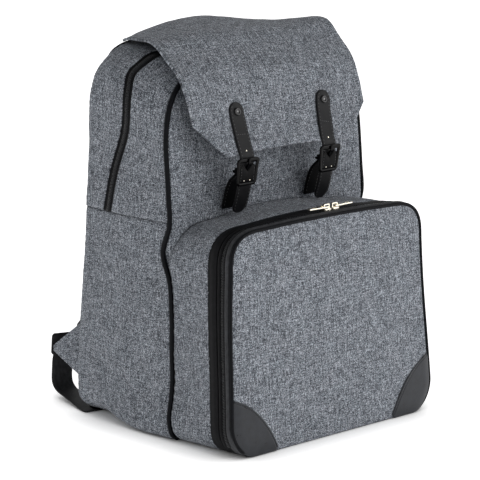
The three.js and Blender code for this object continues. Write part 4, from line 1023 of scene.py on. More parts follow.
def dressed(points, inside, loose, creases, seed, closed=False, rolls=(EDGE_ROLL, EDGE_ROLL)):
    """Cloth that is uneven between its seams and rolls in at its two long edges, or out at a calm hem."""
    from_first = column_lengths(points)
    from_last = from_first[:, -1:] - from_first
    edge = np.minimum(from_first, from_last)
    left_side = points * np.where(points[..., :1] > 0, (-1, 1, 1), 1)
    waves = ruffled(points, RUFFLE["size"], RUFFLE["depth"], seed) + creased(left_side, creases)
    amount = loose * smooth(*RUFFLE_FROM_SEAM, edge) * waves
    hem = from_first[:, -1:]
    for roll, distance in zip(rolls[::-1], (from_last, from_first)):
        if roll < 0:
            hem = distance
    calm = loose * smooth(*CREPE_FROM_HEM, hem)
    amount = amount + calm * ruffled(points, CREPE["size"], CREPE["depth"], seed + 9)
    amount = amount + calm * seam_pucker(points, edge, seed)
    for roll, distance in zip(rolls, (from_first, from_last)):
        amount = amount - roll * bell(distance, EDGE_REACH)
    return points + out_normals(points, inside, closed) * amount[..., None]


def piping_inset(h):
    return PIPING_RADIUS + PIPING_SINK - proud_at(h, PIPING_PROUD)


def looseness(h):
    """0 at the base, where the cloth lies flat, and 1 from the lower corners up."""
    return smooth(PROUD_FROM, LOOSE_TO, h)[:, None]


def zip_bounds(h):
    """Middle of the main zip across the gusset, and half the shares of its tapes, its gap and its chain."""
    gauge_z = body_point(1.0, h, MAIN_ZIP_GAUGE_T + 0 * h)[..., 2]
    centre = table(MAIN_ZIP_PATH, gauge_z)
    share = 1 / body_depth(h)
    return centre, MAIN_ZIP_WIDTH / 2 * share, MAIN_ZIP_SHOWN / 2 * share, CHAIN_WIDTH / 2 * share


def strip_points(surface, sides, h, start, end, columns, inset=0.0, close=1.0):
    """Grid of a strip; close above 1 brings its columns closer together towards the end."""
    start, end, inset = (np.broadcast_to(value, h.shape)[:, None] for value in (start, end, inset))
    f = 1 - (1 - np.linspace(0, 1, columns)[None]) ** close
    return surface(sides[:, None], h[:, None] + 0 * f, lerp(start, end, f), inset)


def add_body_walls():
    sides, h = cradle_walk(SEAM)
    lower = strip_points(soft_body_point, sides, h, CLOTH_TUCK / body_depth(h), 1.0, COLUMNS["lower_gusset"],
                         close=REAR_CLOSE)
    lower = dressed(lower, BODY_CORE, looseness(h), SIDE_CREASES, seed=3.0, rolls=(EDGE_ROLL, REAR_ROLL))
    end_roll = SEAM_ROLL["depth"] * bell(SEAM - h, SEAM_ROLL["reach"])
    lower = lower - out_normals(lower, BODY_CORE) * end_roll[:, None, None]
    cloth_sheet("lower_gusset_cloth", lower, "cloth", CLOTH, BODY_CORE, replaces=["lower_gusset"])

    sides, h = arch_walk(SEAM)
    centre, tape_half, shown_half, chain_half = zip_bounds(h)
    front = strip_points(body_point, sides, h, CLOTH_TUCK / body_depth(h), centre - shown_half,
                         COLUMNS["gusset_front"])
    rear = strip_points(soft_body_point, sides, h, centre + shown_half, 1.0, COLUMNS["gusset_rear"],
                        close=REAR_CLOSE)
    for name, points, seed, rolls in (("gusset_front", front, 5.0, (EDGE_ROLL, ZIP_HEM)),
                                      ("gusset_rear", rear, 7.0, (ZIP_HEM, REAR_ROLL))):
        shaped = dressed(points, BODY_CORE, 1.0, UPPER_CREASES, seed, rolls=rolls)
        cloth_sheet(name + "_cloth", shaped, "cloth", CLOTH, BODY_CORE, replaces=[name])

    covered = chain_half * CHAIN_ON_TAPE
    for name, start, end in (("main_zip_front_tape", centre - tape_half, centre - covered),
                             ("main_zip_rear_tape", centre + covered, centre + tape_half)):
        points = strip_points(body_point, sides, h, start, end, COLUMNS["tape"], TAPE_RECESS)
        cloth_sheet(name + "_woven", points, "black_cloth", TAPE, BODY_CORE, replaces=[name])
    chain = strip_points(body_point, sides, h, centre - chain_half, centre + chain_half, 3, TAPE_RECESS)
    out = out_normals(chain, BODY_CORE)[:, 1]
    zip_teeth("main_zip_teeth", chain[:, 1], chain[:, 2] - chain[:, 0], out, replaces=["main_zip_chain"])


def add_body_pipings():
    sides, h = ring_walk()
    for name, t in (("body_piping", 0.0), ("back_piping", 1.0)):
        turned, push = rear_turn(h, t + 0 * h)
        tuck = REAR_TURN["piping"] * turned / REAR_TURN["inset"]
        hidden = RIGHT_PIPING_TUCK * (sides > 0) * (1 - t)
        hidden = hidden + (BODY_CORD_RADIUS - PIPING_RADIUS) * (1 - proud_at(h, 1.0))
        path = body_point(sides, h, t + 0 * h, piping_inset(h) + turned + tuck + hidden)
        path[:, 1] += push
        piping_cord(name, path, BODY_CORD_RADIUS)


def level_panel(row, inset, columns):
    """Grid of a panel's level rows: x, z and the outline's half width at each row."""
    h = half_walk(CORNER_START, PANEL_TOP)
    x, z = outline(row, h)
    nx, nz = outline_normal(row, h)
    across = np.sin(np.linspace(-1, 1, columns) * np.pi / 2)[None]
    return (x - nx * inset)[:, None] * across, (z - nz * inset)[:, None] + 0 * across, x[:, None]


def panel_edge_distance(row, x, z):
    """Distance of panel points from the panel's outline."""
    line = np.stack(outline(row, half_walk(BASE_MIDDLE, APEX)), 1)
    starts, ways = line[:-1], np.diff(line, axis=0)
    offsets = np.stack([np.abs(x).ravel(), z.ravel()], 1)[:, None] - starts
    shares = np.clip((offsets * ways).sum(-1) / (ways ** 2).sum(-1), 0, 1)
    nearest = np.linalg.norm(offsets - shares[..., None] * ways, axis=-1).min(1)
    return nearest.reshape(x.shape)


def panel_roll(edge, z):
    """How far a panel's face falls back near its edge: a soft shoulder and a crisp hem, less at the base."""
    shoulder = PANEL_ROLL["soft"] * np.clip(1 - edge / PANEL_ROLL["reach"], 0, 1) ** 2
    hem = PANEL_ROLL["hem"] * bell(edge, PANEL_ROLL["hem_reach"])
    above_base = smooth(BASE_Z, BASE_Z + PANEL_ROLL["base_reach"], z)
    return (shoulder + hem) * lerp(PANEL_ROLL["base"], 1, above_base)


def panel_sheet(name, row, y_of, inside, creases, seed, left_inset, replaces, sway=None):
    x, z, half = level_panel(row, PANEL_EDGE, COLUMNS["panel"])
    edge = panel_edge_distance(row, x, z) - PANEL_EDGE
    y = y_of(x, z, half) - PANEL_THICKNESS / 2
    x = x + (left_inset - PANEL_EDGE) * smooth(0.5, 1, -x / half)
    if sway is not None:
        x = x + sway(z)
    points = np.stack([x, y, z], axis=-1)
    waves = ruffled(points, RUFFLE["size"] * PANEL_LOOSE["ruffle"], RUFFLE["depth"], seed)
    crepe = ruffled(points, CREPE["size"], CREPE["depth"] * PANEL_LOOSE["crepe"], seed + 4)
    out = smooth(*PANEL_LOOSE["ruffle_from"], edge) * (waves + creased(points, creases))
    out = out + crepe * smooth(*PANEL_LOOSE["crepe_from"], edge)
    points[..., 1] -= out - panel_roll(edge, z)
    return cloth_sheet(name, points, "cloth", CLOTH, inside, uv=weave_uv(z, x), replaces=replaces)


def case_panel_y(x, z, _half=None):
    """Depth of the case's panel; called as body_front_y is, it has no use for the half width."""
    return case_front_y(z) - case_panel_bulge(x, z)


def add_panels():
    panel_sheet("front_panel_cloth", BODY_FRONT, body_front_y, BODY_CORE, FRONT_CREASES, 11.0,
                FRONT_PANEL_LEFT_INSET, replaces=["front_panel"])
    panel_sheet("case_front_cloth", CASE_FRONT, case_panel_y, CASE_CORE, CASE_PANEL_CREASES, 13.0,
                CASE_PANEL_LEFT_INSET, replaces=["case_front_panel"], sway=case_sway)


# Front case


def case_join(sides, h):
    """Depth at which the case wall meets the body."""
    point = case_point(sides, h, CASE_DEPTH + 0 * h, CLOTH / 2)
    half = outline(CASE_REAR, np.array(CASE_JOIN["place"]))[0] + CASE_JOIN["beyond"]
    front = case_front_y(point[..., 2])
    return body_front_y(point[..., 0], point[..., 2], half) - front - CASE_JOIN["clear"]


def add_case_walls():
    sides, h = ring_walk()
    gusset = strip_points(case_point, sides, h, CASE_GUSSET_FROM, case_join(sides, h), COLUMNS["case_gusset"])
    gusset = dressed(gusset, CASE_CORE, looseness(h), CASE_CREASES, seed=17.0, closed=True,
                     rolls=(CASE_ROLL, CASE_ROLL))
    cloth_sheet("case_gusset_cloth", gusset, "cloth", CLOTH, CASE_CORE, closed=True, replaces=["case_gusset"])
    path = case_point(sides, h, 0 * h, piping_inset(h))
    path[:, 1] += BASE_CORD_TUCK * (1 - smooth(CORNER_START, PROUD_FROM, h))

    add_case_zip()
    piping_cord("case_piping", path, CASE_CORD_RADIUS)
    add_case_hinge()


def add_case_zip():
    sides, h = arch_walk(CASE_ZIP_END)
    recess = proud_at(h, TAPE_RECESS)
    rise = proud_at(h, 1.0)[:, None, None]
    middle = sum(CASE_CHAIN) / 2
    first, last = CASE_TAPES
    # The front tape takes the paler tape, a painted highlight on its ridges
    tapes = (("case_zip_front_tape", first, middle - CASE_TAPE_PARTING, FRONT_TAPE_RIDGES, "painted_highlight_tape"),
             ("case_zip_rear_tape", middle + CASE_TAPE_PARTING, last, REAR_TAPE_RIDGES, "black_cloth"))
    for name, start, end, ridges, look in tapes:
        columns = int((end - start) * TAPE_COLUMNS_PER_MM) + 1
        points = strip_points(case_point, sides, h, start, end, columns, recess)
        d = np.linspace(start, end, columns)
        lift = sum(height * bell(d - at, reach) for at, reach, height in ridges)[None, :, None]
        points = points + out_normals(points, CASE_CORE) * lift * rise
        cloth_sheet(name + "_woven", points, "black_cloth", TAPE, CASE_CORE, look=look, replaces=[name])
    chain = strip_points(case_point, sides, h, *CASE_CHAIN, 3, recess)
    out = out_normals(chain, CASE_CORE)[:, 1]
    shown = h > CASE_TEETH_END
    zip_teeth("case_zip_teeth", chain[shown, 1], (chain[:, 2] - chain[:, 0])[shown], out[shown],
              replaces=["case_zip_chain"])


def add_case_hinge():
    half = outline(CASE_FRONT, np.array(CASE_ZIP_END))[0] - CASE_HINGE["clear"]
    across, deep = CASE_HINGE["grid"]
    x, depth = np.meshgrid(np.linspace(-half, half, across), np.linspace(*CASE_HINGE["depths"], deep),
                           indexing="ij")
    hinge = np.stack([x, case_front_y(BASE_Z) + depth, BASE_Z + CASE_HINGE["lift"] + 0 * x], axis=-1)
    cloth_sheet("case_hinge_cloth", hinge, "cloth", CLOTH, CASE_CORE, replaces=["case_hinge"])


def bow(start, middle, end, w):
    """A curve from start to end that leans to middle."""
    return start * (1 - w) ** 2 + 2 * w * (1 - w) * middle + w ** 2 * end


def patch_edges(w):
    """Outer and inner edge of a corner patch as x and z rows."""
    side_share, corner_share = PATCH_SHARES
    hem = PATCH["hem"]
    corner_top = BASE_Z + CASE_FRONT["corner_z"]
    side_z = lerp(PATCH["side_z"] - PATCH["end_width"], corner_top, w / side_share)
    side_h = CORNER_END + (side_z - corner_top) / (CASE_FRONT["seam_z"] - corner_top)
    side_x = outline(CASE_FRONT, side_h)[0] - hem
    h = lerp(CORNER_END, CORNER_START, np.clip((w - side_share) / corner_share, 0, 1))
    x, z = outline(CASE_FRONT, h)
    nx, nz = outline_normal(CASE_FRONT, h)
    flat_half = CASE_FRONT["half_bottom"] - CASE_FRONT["corner_x"]
    base_f = np.clip((w - side_share - corner_share) / (1 - side_share - corner_share), 0, 1)
    base_x = lerp(flat_half, PATCH["base_x"] + PATCH["end_width"], base_f)
    parts = [w < side_share, w < side_share + corner_share]
    outer_x = np.select(parts, [side_x, x - nx * hem], base_x)
    outer_z = np.select(parts, [side_z, z - nz * hem], BASE_Z + hem)
    start_x = outline(CASE_FRONT, np.array(float(CORNER_END)))[0] - PANEL_INSET - PATCH["edge_clear"]
    inner_x = bow(start_x, PATCH["bow_x"], PATCH["base_x"], w)
    inner_z = bow(PATCH["side_z"], PATCH["bow_z"], BASE_Z + PANEL_INSET, w)
    return outer_x, outer_z, inner_x, inner_z


def add_patches():
    rows, columns = PATCH_GRID
    outer_x, outer_z, inner_x, inner_z = (edge[:, None] for edge in patch_edges(np.linspace(0, 1, rows)))
    f = 1 - (1 - np.linspace(0, 1, columns)[None]) ** PATCH_CLOSE
    x = lerp(outer_x, inner_x, f)
    z = lerp(outer_z, inner_z, f)
    edge = panel_edge_distance(CASE_FRONT, x, z) - PANEL_EDGE
    from_rim = np.hypot(x - inner_x, z - inner_z)
    from_groove = from_rim - PATCH["groove"]
    lift = PANEL_THICKNESS / 2 + GAP + PATCH["thickness"] - panel_roll(edge, z)
    lift = lift - PATCH["rim_drop"] * bell(from_rim, PATCH["rim_reach"])
    lift = lift - PATCH["groove_depth"] * bell(from_groove, PATCH["groove_reach"])
    y = case_panel_y(x, z) - lift
    stitched = np.arange(PATCH_STITCH_END, rows - PATCH_STITCH_END)
    groove = np.argmin(np.abs(from_groove), axis=1)[stitched]
    for name, side in SIDES:
        points = np.stack([side * x + case_sway(z), y, z], axis=-1)
        cloth_sheet("corner_patch_leather_" + name, points, "patch_leather", PATCH["thickness"], CASE_CORE,
                    uv=weave_uv(side * x, z), replaces=["corner_patch_" + name])
        out = out_normals(points, CASE_CORE)
        stitches("corner_patch_stitches_" + name, [points[stitched, groove]], [out[stitched, groove]],
                 "patch_leather", "patch")


# Flap and its straps


def flap_middle(v):
    """Drop at the sides, depth and height of the flap's middle line, and its half width, at share v."""
    rows = np.array(FLAP_ROWS, float)[:, [2, 0, 1, 3]]
    keys = spline_keys(rows)
    at = np.interp(v * (len(rows) - 1), np.arange(len(rows)), keys)
    drop, y, z = (table(np.stack([keys, rows[:, k]], 1), at) for k in range(3))
    return drop, y, z, np.interp(at, keys, rows[:, 3])


def flap_surface(u, v):
    drop, y, z, half = flap_middle(v)
    curl = FLAP_CURL["height"] * bell(v - FLAP_CURL["v"], FLAP_CURL["reach"])
    dip = FLAP_DIP["depth"] * bell(v - FLAP_DIP["v"], FLAP_DIP["reach_v"])
    curl = curl * smooth(FLAP_CURL["start"], 1, u)
    dip = dip * bell(u - FLAP_DIP["u"], FLAP_DIP["reach_u"])
    return np.stack([u * half, y + 0 * u, z - drop * u * u + curl - dip], axis=-1)


def flap_out(u, v):
    along_u = flap_surface(u + FLAP_STEP, v) - flap_surface(u - FLAP_STEP, v)
    along_v = flap_surface(u, np.minimum(v + FLAP_STEP, 1)) - flap_surface(u, np.maximum(v - FLAP_STEP, 0))
    return -unit(np.cross(along_u, along_v))


def add_flap():
    v, u = np.meshgrid(np.linspace(0, 1, FLAP_GRID[0]), np.linspace(-1, 1, FLAP_GRID[1]), indexing="ij")
    points = flap_surface(u, v)
    out = flap_out(u, v)
    rows = lengths_along(points[:, FLAP_GRID[1] // 2])
    half = np.abs(points[:, -1, 0])[:, None]
    hem = FLAP_HEM["width"]
    edge = np.minimum((1 - np.abs(u)) * half, (rows[-1] - rows)[:, None])
    wave = ruffled(points, RUFFLE["size"] * FLAP_LOOSE["size"], FLAP_LOOSE["depth"], 21.0)
    wave = wave * smooth(*FLAP_LOOSE["start"], edge) + creased(points, FLAP_CREASES)
    crepe = ruffled(points, CREPE["size"], CREPE["depth"], 23.0)
    raised = FLAP_HEM["step"] * smooth(hem + FLAP_HEM["blend"], hem - FLAP_HEM["blend"], edge)
    raised = raised + FLAP_HEM["lip"] * bell(edge, FLAP_HEM["lip_reach"])
    shaped = points + out * (wave + crepe + raised)[..., None]
    flap = cloth_sheet("flap_cloth", shaped, "cloth", FLAP_THICKNESS, FLAP_CORE,
                       uv=weave_uv(rows[:, None], u * half), replaces=["flap"])

    stitch_u = 1 - hem / FLAP_HEM["half"]
    left, right = (int(np.argmin(np.abs(u[0] - side * stitch_u))) for _, side in SIDES)
    low = int(np.argmin(np.abs(rows[-1] - rows - hem)))
    lines = ((slice(FLAP_HEM["stitch_end"], low), left), (slice(FLAP_HEM["stitch_end"], low), right),
             (low, slice(left, right)))
    stitches("flap_stitches", [shaped[line] for line in lines], [out[line] for line in lines], "cloth",
             "flap", look="grey_thread")


def buckle_point(name, across, up, out):
    """A place in a buckle's own frame: across the strap, up it and out of the bag."""
    cos, sin = math.cos(BUCKLE_LEAN), math.sin(BUCKLE_LEAN)
    x = STRAPS[name][1] + across
    y = BUCKLE_CENTRE[0] - up * sin - out * cos
    z = BUCKLE_CENTRE[1] + up * cos - out * sin
    return np.stack(np.broadcast_arrays(x, y, z), axis=-1)


def buckle_way(name):
    """The way out of the bag at a buckle."""
    return unit(buckle_point(name, 0.0, 0.0, 1.0) - buckle_point(name, 0.0, 0.0, 0.0))


def strap_path(name):
    v = np.linspace(*STRAP_ON_FLAP, STRAP_STEPS["flap"])
    u = STRAP_U + 0 * v
    on_flap = flap_surface(u, v) + flap_out(u, v) * (STRAP_THICKNESS / 2 + GAP)
    top_x, low_x = STRAPS[name]
    on_flap[:, 0] = np.linspace(top_x, low_x, STRAP_STEPS["flap"])
    reach = BUCKLE["height"] * BUCKLE["strap_reach"]
    in_buckle = buckle_point(name, 0.0, np.linspace(reach, -reach, STRAP_STEPS["buckle"]), 0.0)
    tail = np.array([(low_x, y, z) for y, z in STRAP_TAIL])
    return spline(np.vstack([on_flap, in_buckle, tail]), STRAP_STEPS["all"])


def rounded_widths(path, reach, flat=0.4):
    """Share of the full width at each point of a band whose two ends are rounded."""
    along = lengths_along(path)
    from_end = np.minimum(along, along[-1] - along) + flat
    return np.sqrt(1 - np.clip(1 - from_end / reach, 0, 1) ** 2)


def edge_stitches(name, path, halves, thickness):
    """Two rows of stitches along a leather band's face; halves is their distance from its middle."""
    side, face = across_frames(path, ACROSS)
    offset = side * np.maximum(halves, 0)[:, None]
    paths = [path + sign * offset + face * thickness / 2 for _, sign in SIDES]
    stitches(name, paths, [face, face], "strap_leather", "strap")


def dome(name, seat, way, size, slot, look=None, replaces=()):
    """Round cap standing on a seat, with its middle sunk."""
    radius, height, recess = CAPS[size]
    sunk = 1.0 - recess
    rows = np.array([(1.0, 0.0), (1.0, 0.35), (0.93, 0.72), (0.8, 0.94), (0.62, 1.0),
                     (0.5, 1.0 - 0.5 * recess), (0.4, sunk), (0.2, sunk), (0.02, sunk)])
    side = unit(np.cross(way, np.array(ACROSS, float)))
    angles = round_angles(CAP_SIDES)[:, None]
    ring = np.cos(angles) * side + np.sin(angles) * np.cross(way, side)
    points = seat + rows[:, None, :1] * radius * ring[None] + rows[:, None, 1:] * height * way
    make_piece(name, points, loop_faces(*points.shape[:2]), slot, look=look, sharp=60, replaces=replaces)


def buckle_outline():
    """Middle line of the buckle's frame: places across the strap and up it."""
    half_bar = BUCKLE["bar"] / 2
    top, base = BUCKLE["top_width"] / 2 - half_bar, BUCKLE["base_width"] / 2 - half_bar
    high = BUCKLE["height"] / 2 - half_bar
    corners = np.array([(-base, -high, 0), (base, -high, 0), (top, high, 0), (-top, high, 0)])
    line = []
    for before, here, after in zip(np.roll(corners, 1, 0), corners, np.roll(corners, -1, 0)):
        start = here + unit(before - here) * BUCKLE["corner"]
        end = here + unit(after - here) * BUCKLE["corner"]
        line += [bow(start, here, end, w) for w in np.linspace(0, 1, BUCKLE["corner_steps"])]
    return resample(np.array(line), BUCKLE["step"], closed=True), high


def add_buckle_frame(name):
    flat, high = buckle_outline()
    out = STRAP_THICKNESS / 2 + GAP + BUCKLE["thick"] / 2
    path = buckle_point(name, flat[:, 0], flat[:, 1], out)
    face = buckle_way(name)
    beside = unit(np.cross(tangents_of(path, closed=True), face))
    angles = round_angles(BUCKLE["sides"])
    across, up = (np.sign(w) * np.abs(w) ** BUCKLE["flatten"] for w in (np.cos(angles), np.sin(angles)))
    plump = BUCKLE["top_plump"] * smooth(high - BUCKLE["top_from"], high - BUCKLE["top_to"], flat[:, 1])
    wide = BUCKLE["bar"] / 2 * (BUCKLE["plump"] + plump)
    points = path[:, None] + (across * wide[:, None])[..., None] * beside[:, None]
    points = points + (up * BUCKLE["thick"] / 2)[:, None] * face
    make_piece("buckle_ring_" + name, points, loop_faces(*points.shape[:2], closed=True), "black_metal",
               sharp=60, replaces=["buckle_frame_" + name])
    rod = buckle_point(name, np.linspace(-BAR["half"], BAR["half"], BAR["steps"]), 0.0, BAR["out"])
    section = band_profile(BAR["width"], BAR["width"], round_edge=0.5)
    band("buckle_bar_" + name, rod, UPRIGHT, section, "black_metal")
    for side_name, side in SIDES:
        reach = np.linspace(BAR["out"] - BAR["lug_back"], out, BAR["lug_steps"])
        lug = buckle_point(name, side * BAR["lug_at"], 0.0, reach)
        section = band_profile(BAR["width"], BAR["lug_thick"], round_edge=0.4)
        band(f"buckle_lug_{side_name}_{name}", lug, UPRIGHT, section, "black_metal")


def add_buckle_tongue(name):
    """Front of the chape inside the buckle, notched at the top for the prong, with two small rivets."""
    half, low = TONGUE["half"], TONGUE["low"]
    x = np.linspace(-half, half, TONGUE["grid"][0])[:, None]
    f = np.linspace(0, 1, TONGUE["grid"][1])[None]
    near = np.clip(np.abs(x) / half, 0, 1)
    rounded = np.clip((near - TONGUE["round_from"]) / (1 - TONGUE["round_from"]), 0, 1) ** 2
    top = TONGUE["high"] - TONGUE["notch"] * np.clip(1 - near / TONGUE["notch_half"], 0, 1)
    top = top - TONGUE["round_drop"] * rounded
    up = lerp(low, top, f)
    edge = np.minimum((1 - near) * half, np.minimum(f, 1 - f) * (top - low))
    out = TONGUE["out"] + TONGUE["crown"] * np.sin(np.pi * f)
    out = out - TONGUE["edge_drop"] * bell(edge, TONGUE["edge_reach"])
    points = buckle_point(name, x, up, out)
    inside = buckle_point(name, 0.0, 0.0, TONGUE["inside"])
    cloth_sheet("buckle_tongue_" + name, points, "strap_leather", TONGUE["thickness"], inside,
                uv=weave_uv(up, x), look="chape_leather")
    face = buckle_way(name)
    rows = [points[column, TONGUE["stitch_rows"]] for column in TONGUE["stitch_columns"]]
    stitches("buckle_tongue_stitches_" + name, rows, [np.broadcast_to(face, row.shape) for row in rows],
             "strap_leather", "tongue")
    across, up, out = TONGUE["rivet"]
    for side_name, side in SIDES:
        seat = buckle_point(name, side * across, low + up, out)
        dome(f"buckle_rivet_{side_name}_{name}", seat, face, "tongue_rivet", "bright_metal")


def add_chape(name):
    rows = np.array(CHAPE_ROWS, float)
    chape = spline(buckle_point(name, 0.0, rows[:, 0], rows[:, 1]), CHAPE_STEPS)
    along = np.linspace(0, 1, len(chape))
    widths = 1 + CHAPE_FLARE["share"] * (1 - smooth(0, CHAPE_FLARE["end"], along))
    section = varied(band_profile(CHAPE_WIDTH, CHAPE_THICKNESS), widths)
    band("buckle_chape_leather_" + name, chape, ACROSS, section, "strap_leather", look="chape_leather",
         replaces=["buckle_chape_" + name])
    stitched = chape[CHAPE_STITCHES["rows"]]
    halves = np.full(len(stitched), CHAPE_WIDTH / 2 - CHAPE_STITCHES["inset"])
    edge_stitches("buckle_chape_stitches_" + name, stitched, halves, CHAPE_THICKNESS)


def add_buckled_strap(name):
    path = strap_path(name)
    side, face = across_frames(path, ACROSS)
    top = path + face * STRAP_THICKNESS / 2
    shares = rounded_widths(path, STRAP_WIDTH / 2)
    section = varied(band_profile(STRAP_WIDTH, STRAP_THICKNESS), shares)
    band("flap_strap_leather_" + name, path, ACROSS, section, "strap_leather",
         replaces=["flap_strap_" + name])
    inner = slice(STRAP_STITCHES["end"], -STRAP_STITCHES["end"])
    halves = STRAP_WIDTH / 2 * shares[inner] - STRAP_STITCHES["inset"]
    edge_stitches("flap_strap_stitches_" + name, path[inner], halves, STRAP_THICKNESS)
    half = STRAP_STITCHES["cross_half"]
    reach = np.linspace(-half, half, STRAP_STITCHES["cross_steps"])
    cross = top[CROSS_AT] + side[CROSS_AT] * reach[:, None]
    stitches("flap_strap_cross_" + name, [cross], [np.broadcast_to(face[CROSS_AT], cross.shape)],
             "strap_leather", "cross")
    dome("strap_rivet_cap_" + name, top[RIVET_AT], face[RIVET_AT], "rivet", "black_metal", look="rivet_metal",
         replaces=["strap_rivet_" + name])
    dome("strap_eyelet_" + name, top[EYELET_AT], face[EYELET_AT], "eyelet", "bright_metal")
    add_buckle_frame(name)
    add_buckle_tongue(name)
    add_chape(name)


# Back


def mesh_points(mesh):
    flat = np.zeros(len(mesh.vertices) * 3)
    mesh.vertices.foreach_get("co", flat)
    return flat.reshape(-1, 3)


def evaluated(obj):
    return obj.evaluated_get(bpy.context.evaluated_depsgraph_get())


def settled_points(obj, start, pressure, cap, pinned):
    """Points of a padded piece after a few frames of pressure, none of them more than cap from its start."""
    pins = obj.vertex_groups.new(name="pinned")
    for index, weight in enumerate(pinned):
        pins.add([index], float(weight), "REPLACE")
    cloth = obj.modifiers.new("settle", "CLOTH")
    cloth.settings.vertex_group_mass = "pinned"
    cloth.settings.use_pressure = True
    cloth.settings.uniform_pressure_force = pressure
    cloth.settings.effector_weights.gravity = 0
    for number in range(1, SETTLE_FRAMES + 1):
        bpy.context.scene.frame_set(number)
    step = mesh_points(evaluated(obj).data) - start
    length = np.linalg.norm(step, axis=1, keepdims=True)
    end = start + step * np.minimum(1, cap * MM / np.maximum(length, 1e-9))
    end[:, 2] = np.maximum(end[:, 2], FLOOR_CLEAR * MM)
    obj.modifiers.clear()
    obj.vertex_groups.clear()
    return end


def puff(obj, voxel, pressure, cap, keep):
    """Cloth simulation of a padded piece: an even mesh of it is inflated with its fixed part pinned.

    keep(points) gives a pinning weight for each point, in millimetres.
    """
    remesh = obj.modifiers.new("even", "REMESH")
    remesh.mode = "VOXEL"
    remesh.voxel_size = voxel * MM
    mesh = bpy.data.meshes.new_from_object(evaluated(obj))
    obj.modifiers.clear()
    look = obj.data.materials[0]
    obj.data = mesh
    mesh.materials.clear()
    mesh.materials.append(look)
    start = mesh_points(mesh)
    end = settled_points(obj, start, pressure, cap, keep(start / MM - np.array([0, 0, LIFT])))
    mesh.vertices.foreach_set("co", end.ravel())
    bpy.context.scene.frame_set(1)
    smooth_woven(mesh, mesh_points(mesh)[:, [2, 0]])
    fine = obj.modifiers.new("fine", "SUBSURF")
    fine.levels = 1
    fine.render_levels = 1


def add_back_panel():
    x, z, _ = level_panel(BODY_REAR, BACK_PAD["inset"], COLUMNS["back"])
    edge = panel_edge_distance(BODY_REAR, x, z)
    half_thick = BACK_PAD["thickness"] / 2 * lerp(BACK_PAD["rim_share"], 1, smooth(*BACK_PAD["rim"], edge))
    quilt = BACK_PAD["quilt"] * bell(np.abs(x) - BACK_PAD["quilt_x"], BACK_PAD["quilt_reach"])
    quilt = quilt * smooth(*BACK_PAD["quilt_from"], edge)
    y = table(BACK_EDGE, z)
    outer = np.stack([x, y + half_thick - quilt, z], axis=-1)
    inner = np.stack([x, y - half_thick, z], axis=-1)
    rows, columns = x.shape
    faces = grid_faces(rows, columns)
    count = rows * columns
    places = np.arange(count).reshape(rows, columns)
    rim = np.concatenate([places[0], places[1:, -1], places[-1, -2::-1], places[-2:0:-1, 0]])
    after = np.roll(rim, -1)
    walls = np.stack([rim, after, after + count, rim + count], 1)
    shell = np.concatenate([faces, (faces + count)[:, ::-1], walls[:, ::-1]])
    panel = make_piece("back_pad", np.stack([outer, inner]), shell, "cloth", replaces=["back_panel"])

    def keep(points):
        edge = panel_edge_distance(BODY_REAR, points[:, 0], points[:, 2])
        return 1 - smooth(*BACK_PAD["pinned"], edge)

    puff(panel, *BACK_PUFF, keep)


def add_shoulder_pad(name, side):
    curve = spline(np.array(SHOULDER_ROWS, float) * np.array([side, 1, 1, 1]), SHOULDER_PAD["steps"])
    path, widths = curve[:, :3], curve[:, 3]
    start, angle = SHOULDER_TILT
    tilt = angle * smooth(start, 1, np.linspace(0, 1, len(path)))
    across = np.stack([np.cos(tilt), 0 * tilt, side * np.sin(tilt)], axis=1)
    flat = band_profile(1.0, 1.0, crown=SHOULDER_PAD["crown"], round_edge=SHOULDER_PAD["round_edge"])
    section = varied(flat, widths, SHOULDER_PAD["thickness"])
    pad = band("shoulder_pad_" + name, path, across, section, "cloth", replaces=["shoulder_strap_" + name])

    def keep(points):
        far = np.linalg.norm(points[:, None] - path[[0, -1]][None], axis=2).min(1)
        return 1 - smooth(*SHOULDER_PAD["pinned"], far)

    puff(pad, *SHOULDER_PUFF, keep)


def add_webbing(name, side):
    """The webbing from the ladder lock to the tab, and the loose tail below the lock."""
    mirror = np.array([side, 1, 1])
    heading = unit(np.array(WEBBING_ROUTE[0]) - np.array(LOCK_AT)) * mirror
    wide = unit(np.array([heading[2], 0, -heading[0]]))
    upright = np.array([-WEBBING_SLANT, 0, -side])
    twist = unit(lerp(wide, upright, np.linspace(0, 1, WEBBING_STEPS)[:, None]))
    bands = (("strap_webbing_", WEBBING_ROUTE, twist), ("strap_tail_", TAIL_ROUTE, TAIL_ACROSS * mirror))
    for kind, route, across in bands:
        line = spline(np.array(route) * mirror, WEBBING_STEPS)
        shares = rounded_widths(line, WEBBING_CORNER, flat=WEBBING_END)
        section = varied(band_profile(WEBBING_WIDTH, WEBBING_THICKNESS), shares)
        band(kind + "woven_" + name, line, across, section, "black_cloth", look="webbing",
             replaces=[kind + name])


def add_strap_tab(name, side):
    v = np.linspace(0, 1, TAB["grid"][0])[:, None]
    f = np.linspace(0, 1, TAB["grid"][1])[None]
    base_z = lerp(TAB["low_z"], TAB["top_z"], f)
    tip_z = TAB["tip_z"] + (f - 0.5) * TAB["tip_height"]
    base_y = table(BACK_EDGE, base_z) - TAB["tuck"]
    x = lerp(TAB["x"] - TAB["sink"], TAB["tip_x"], v) + TAB["thickness"] / 2 + 0 * f
    tab = np.stack([side * x, lerp(base_y, TAB["tip_y"], v), lerp(base_z, tip_z, v)], axis=-1)
    cloth_sheet("strap_tab_cloth_" + name, tab, "cloth", TAB["thickness"], TAB_CORE,
                replaces=["strap_tab_" + name])


# Hard pieces carried over from the solids


def finish_hard_nodes():
    for name, look in HARD_NODES.items():
        for side_name, _ in SIDES:
            obj = NODES[f"{name}_{side_name}"]
            obj.data.materials.clear()
            obj.data.materials.append(LOOKS[look])
            edge = obj.modifiers.new("edge", "BEVEL")
            edge.width = BEVEL * MM
            edge.segments = 2
            edge.limit_method = "ANGLE"


# Floor, light and camera


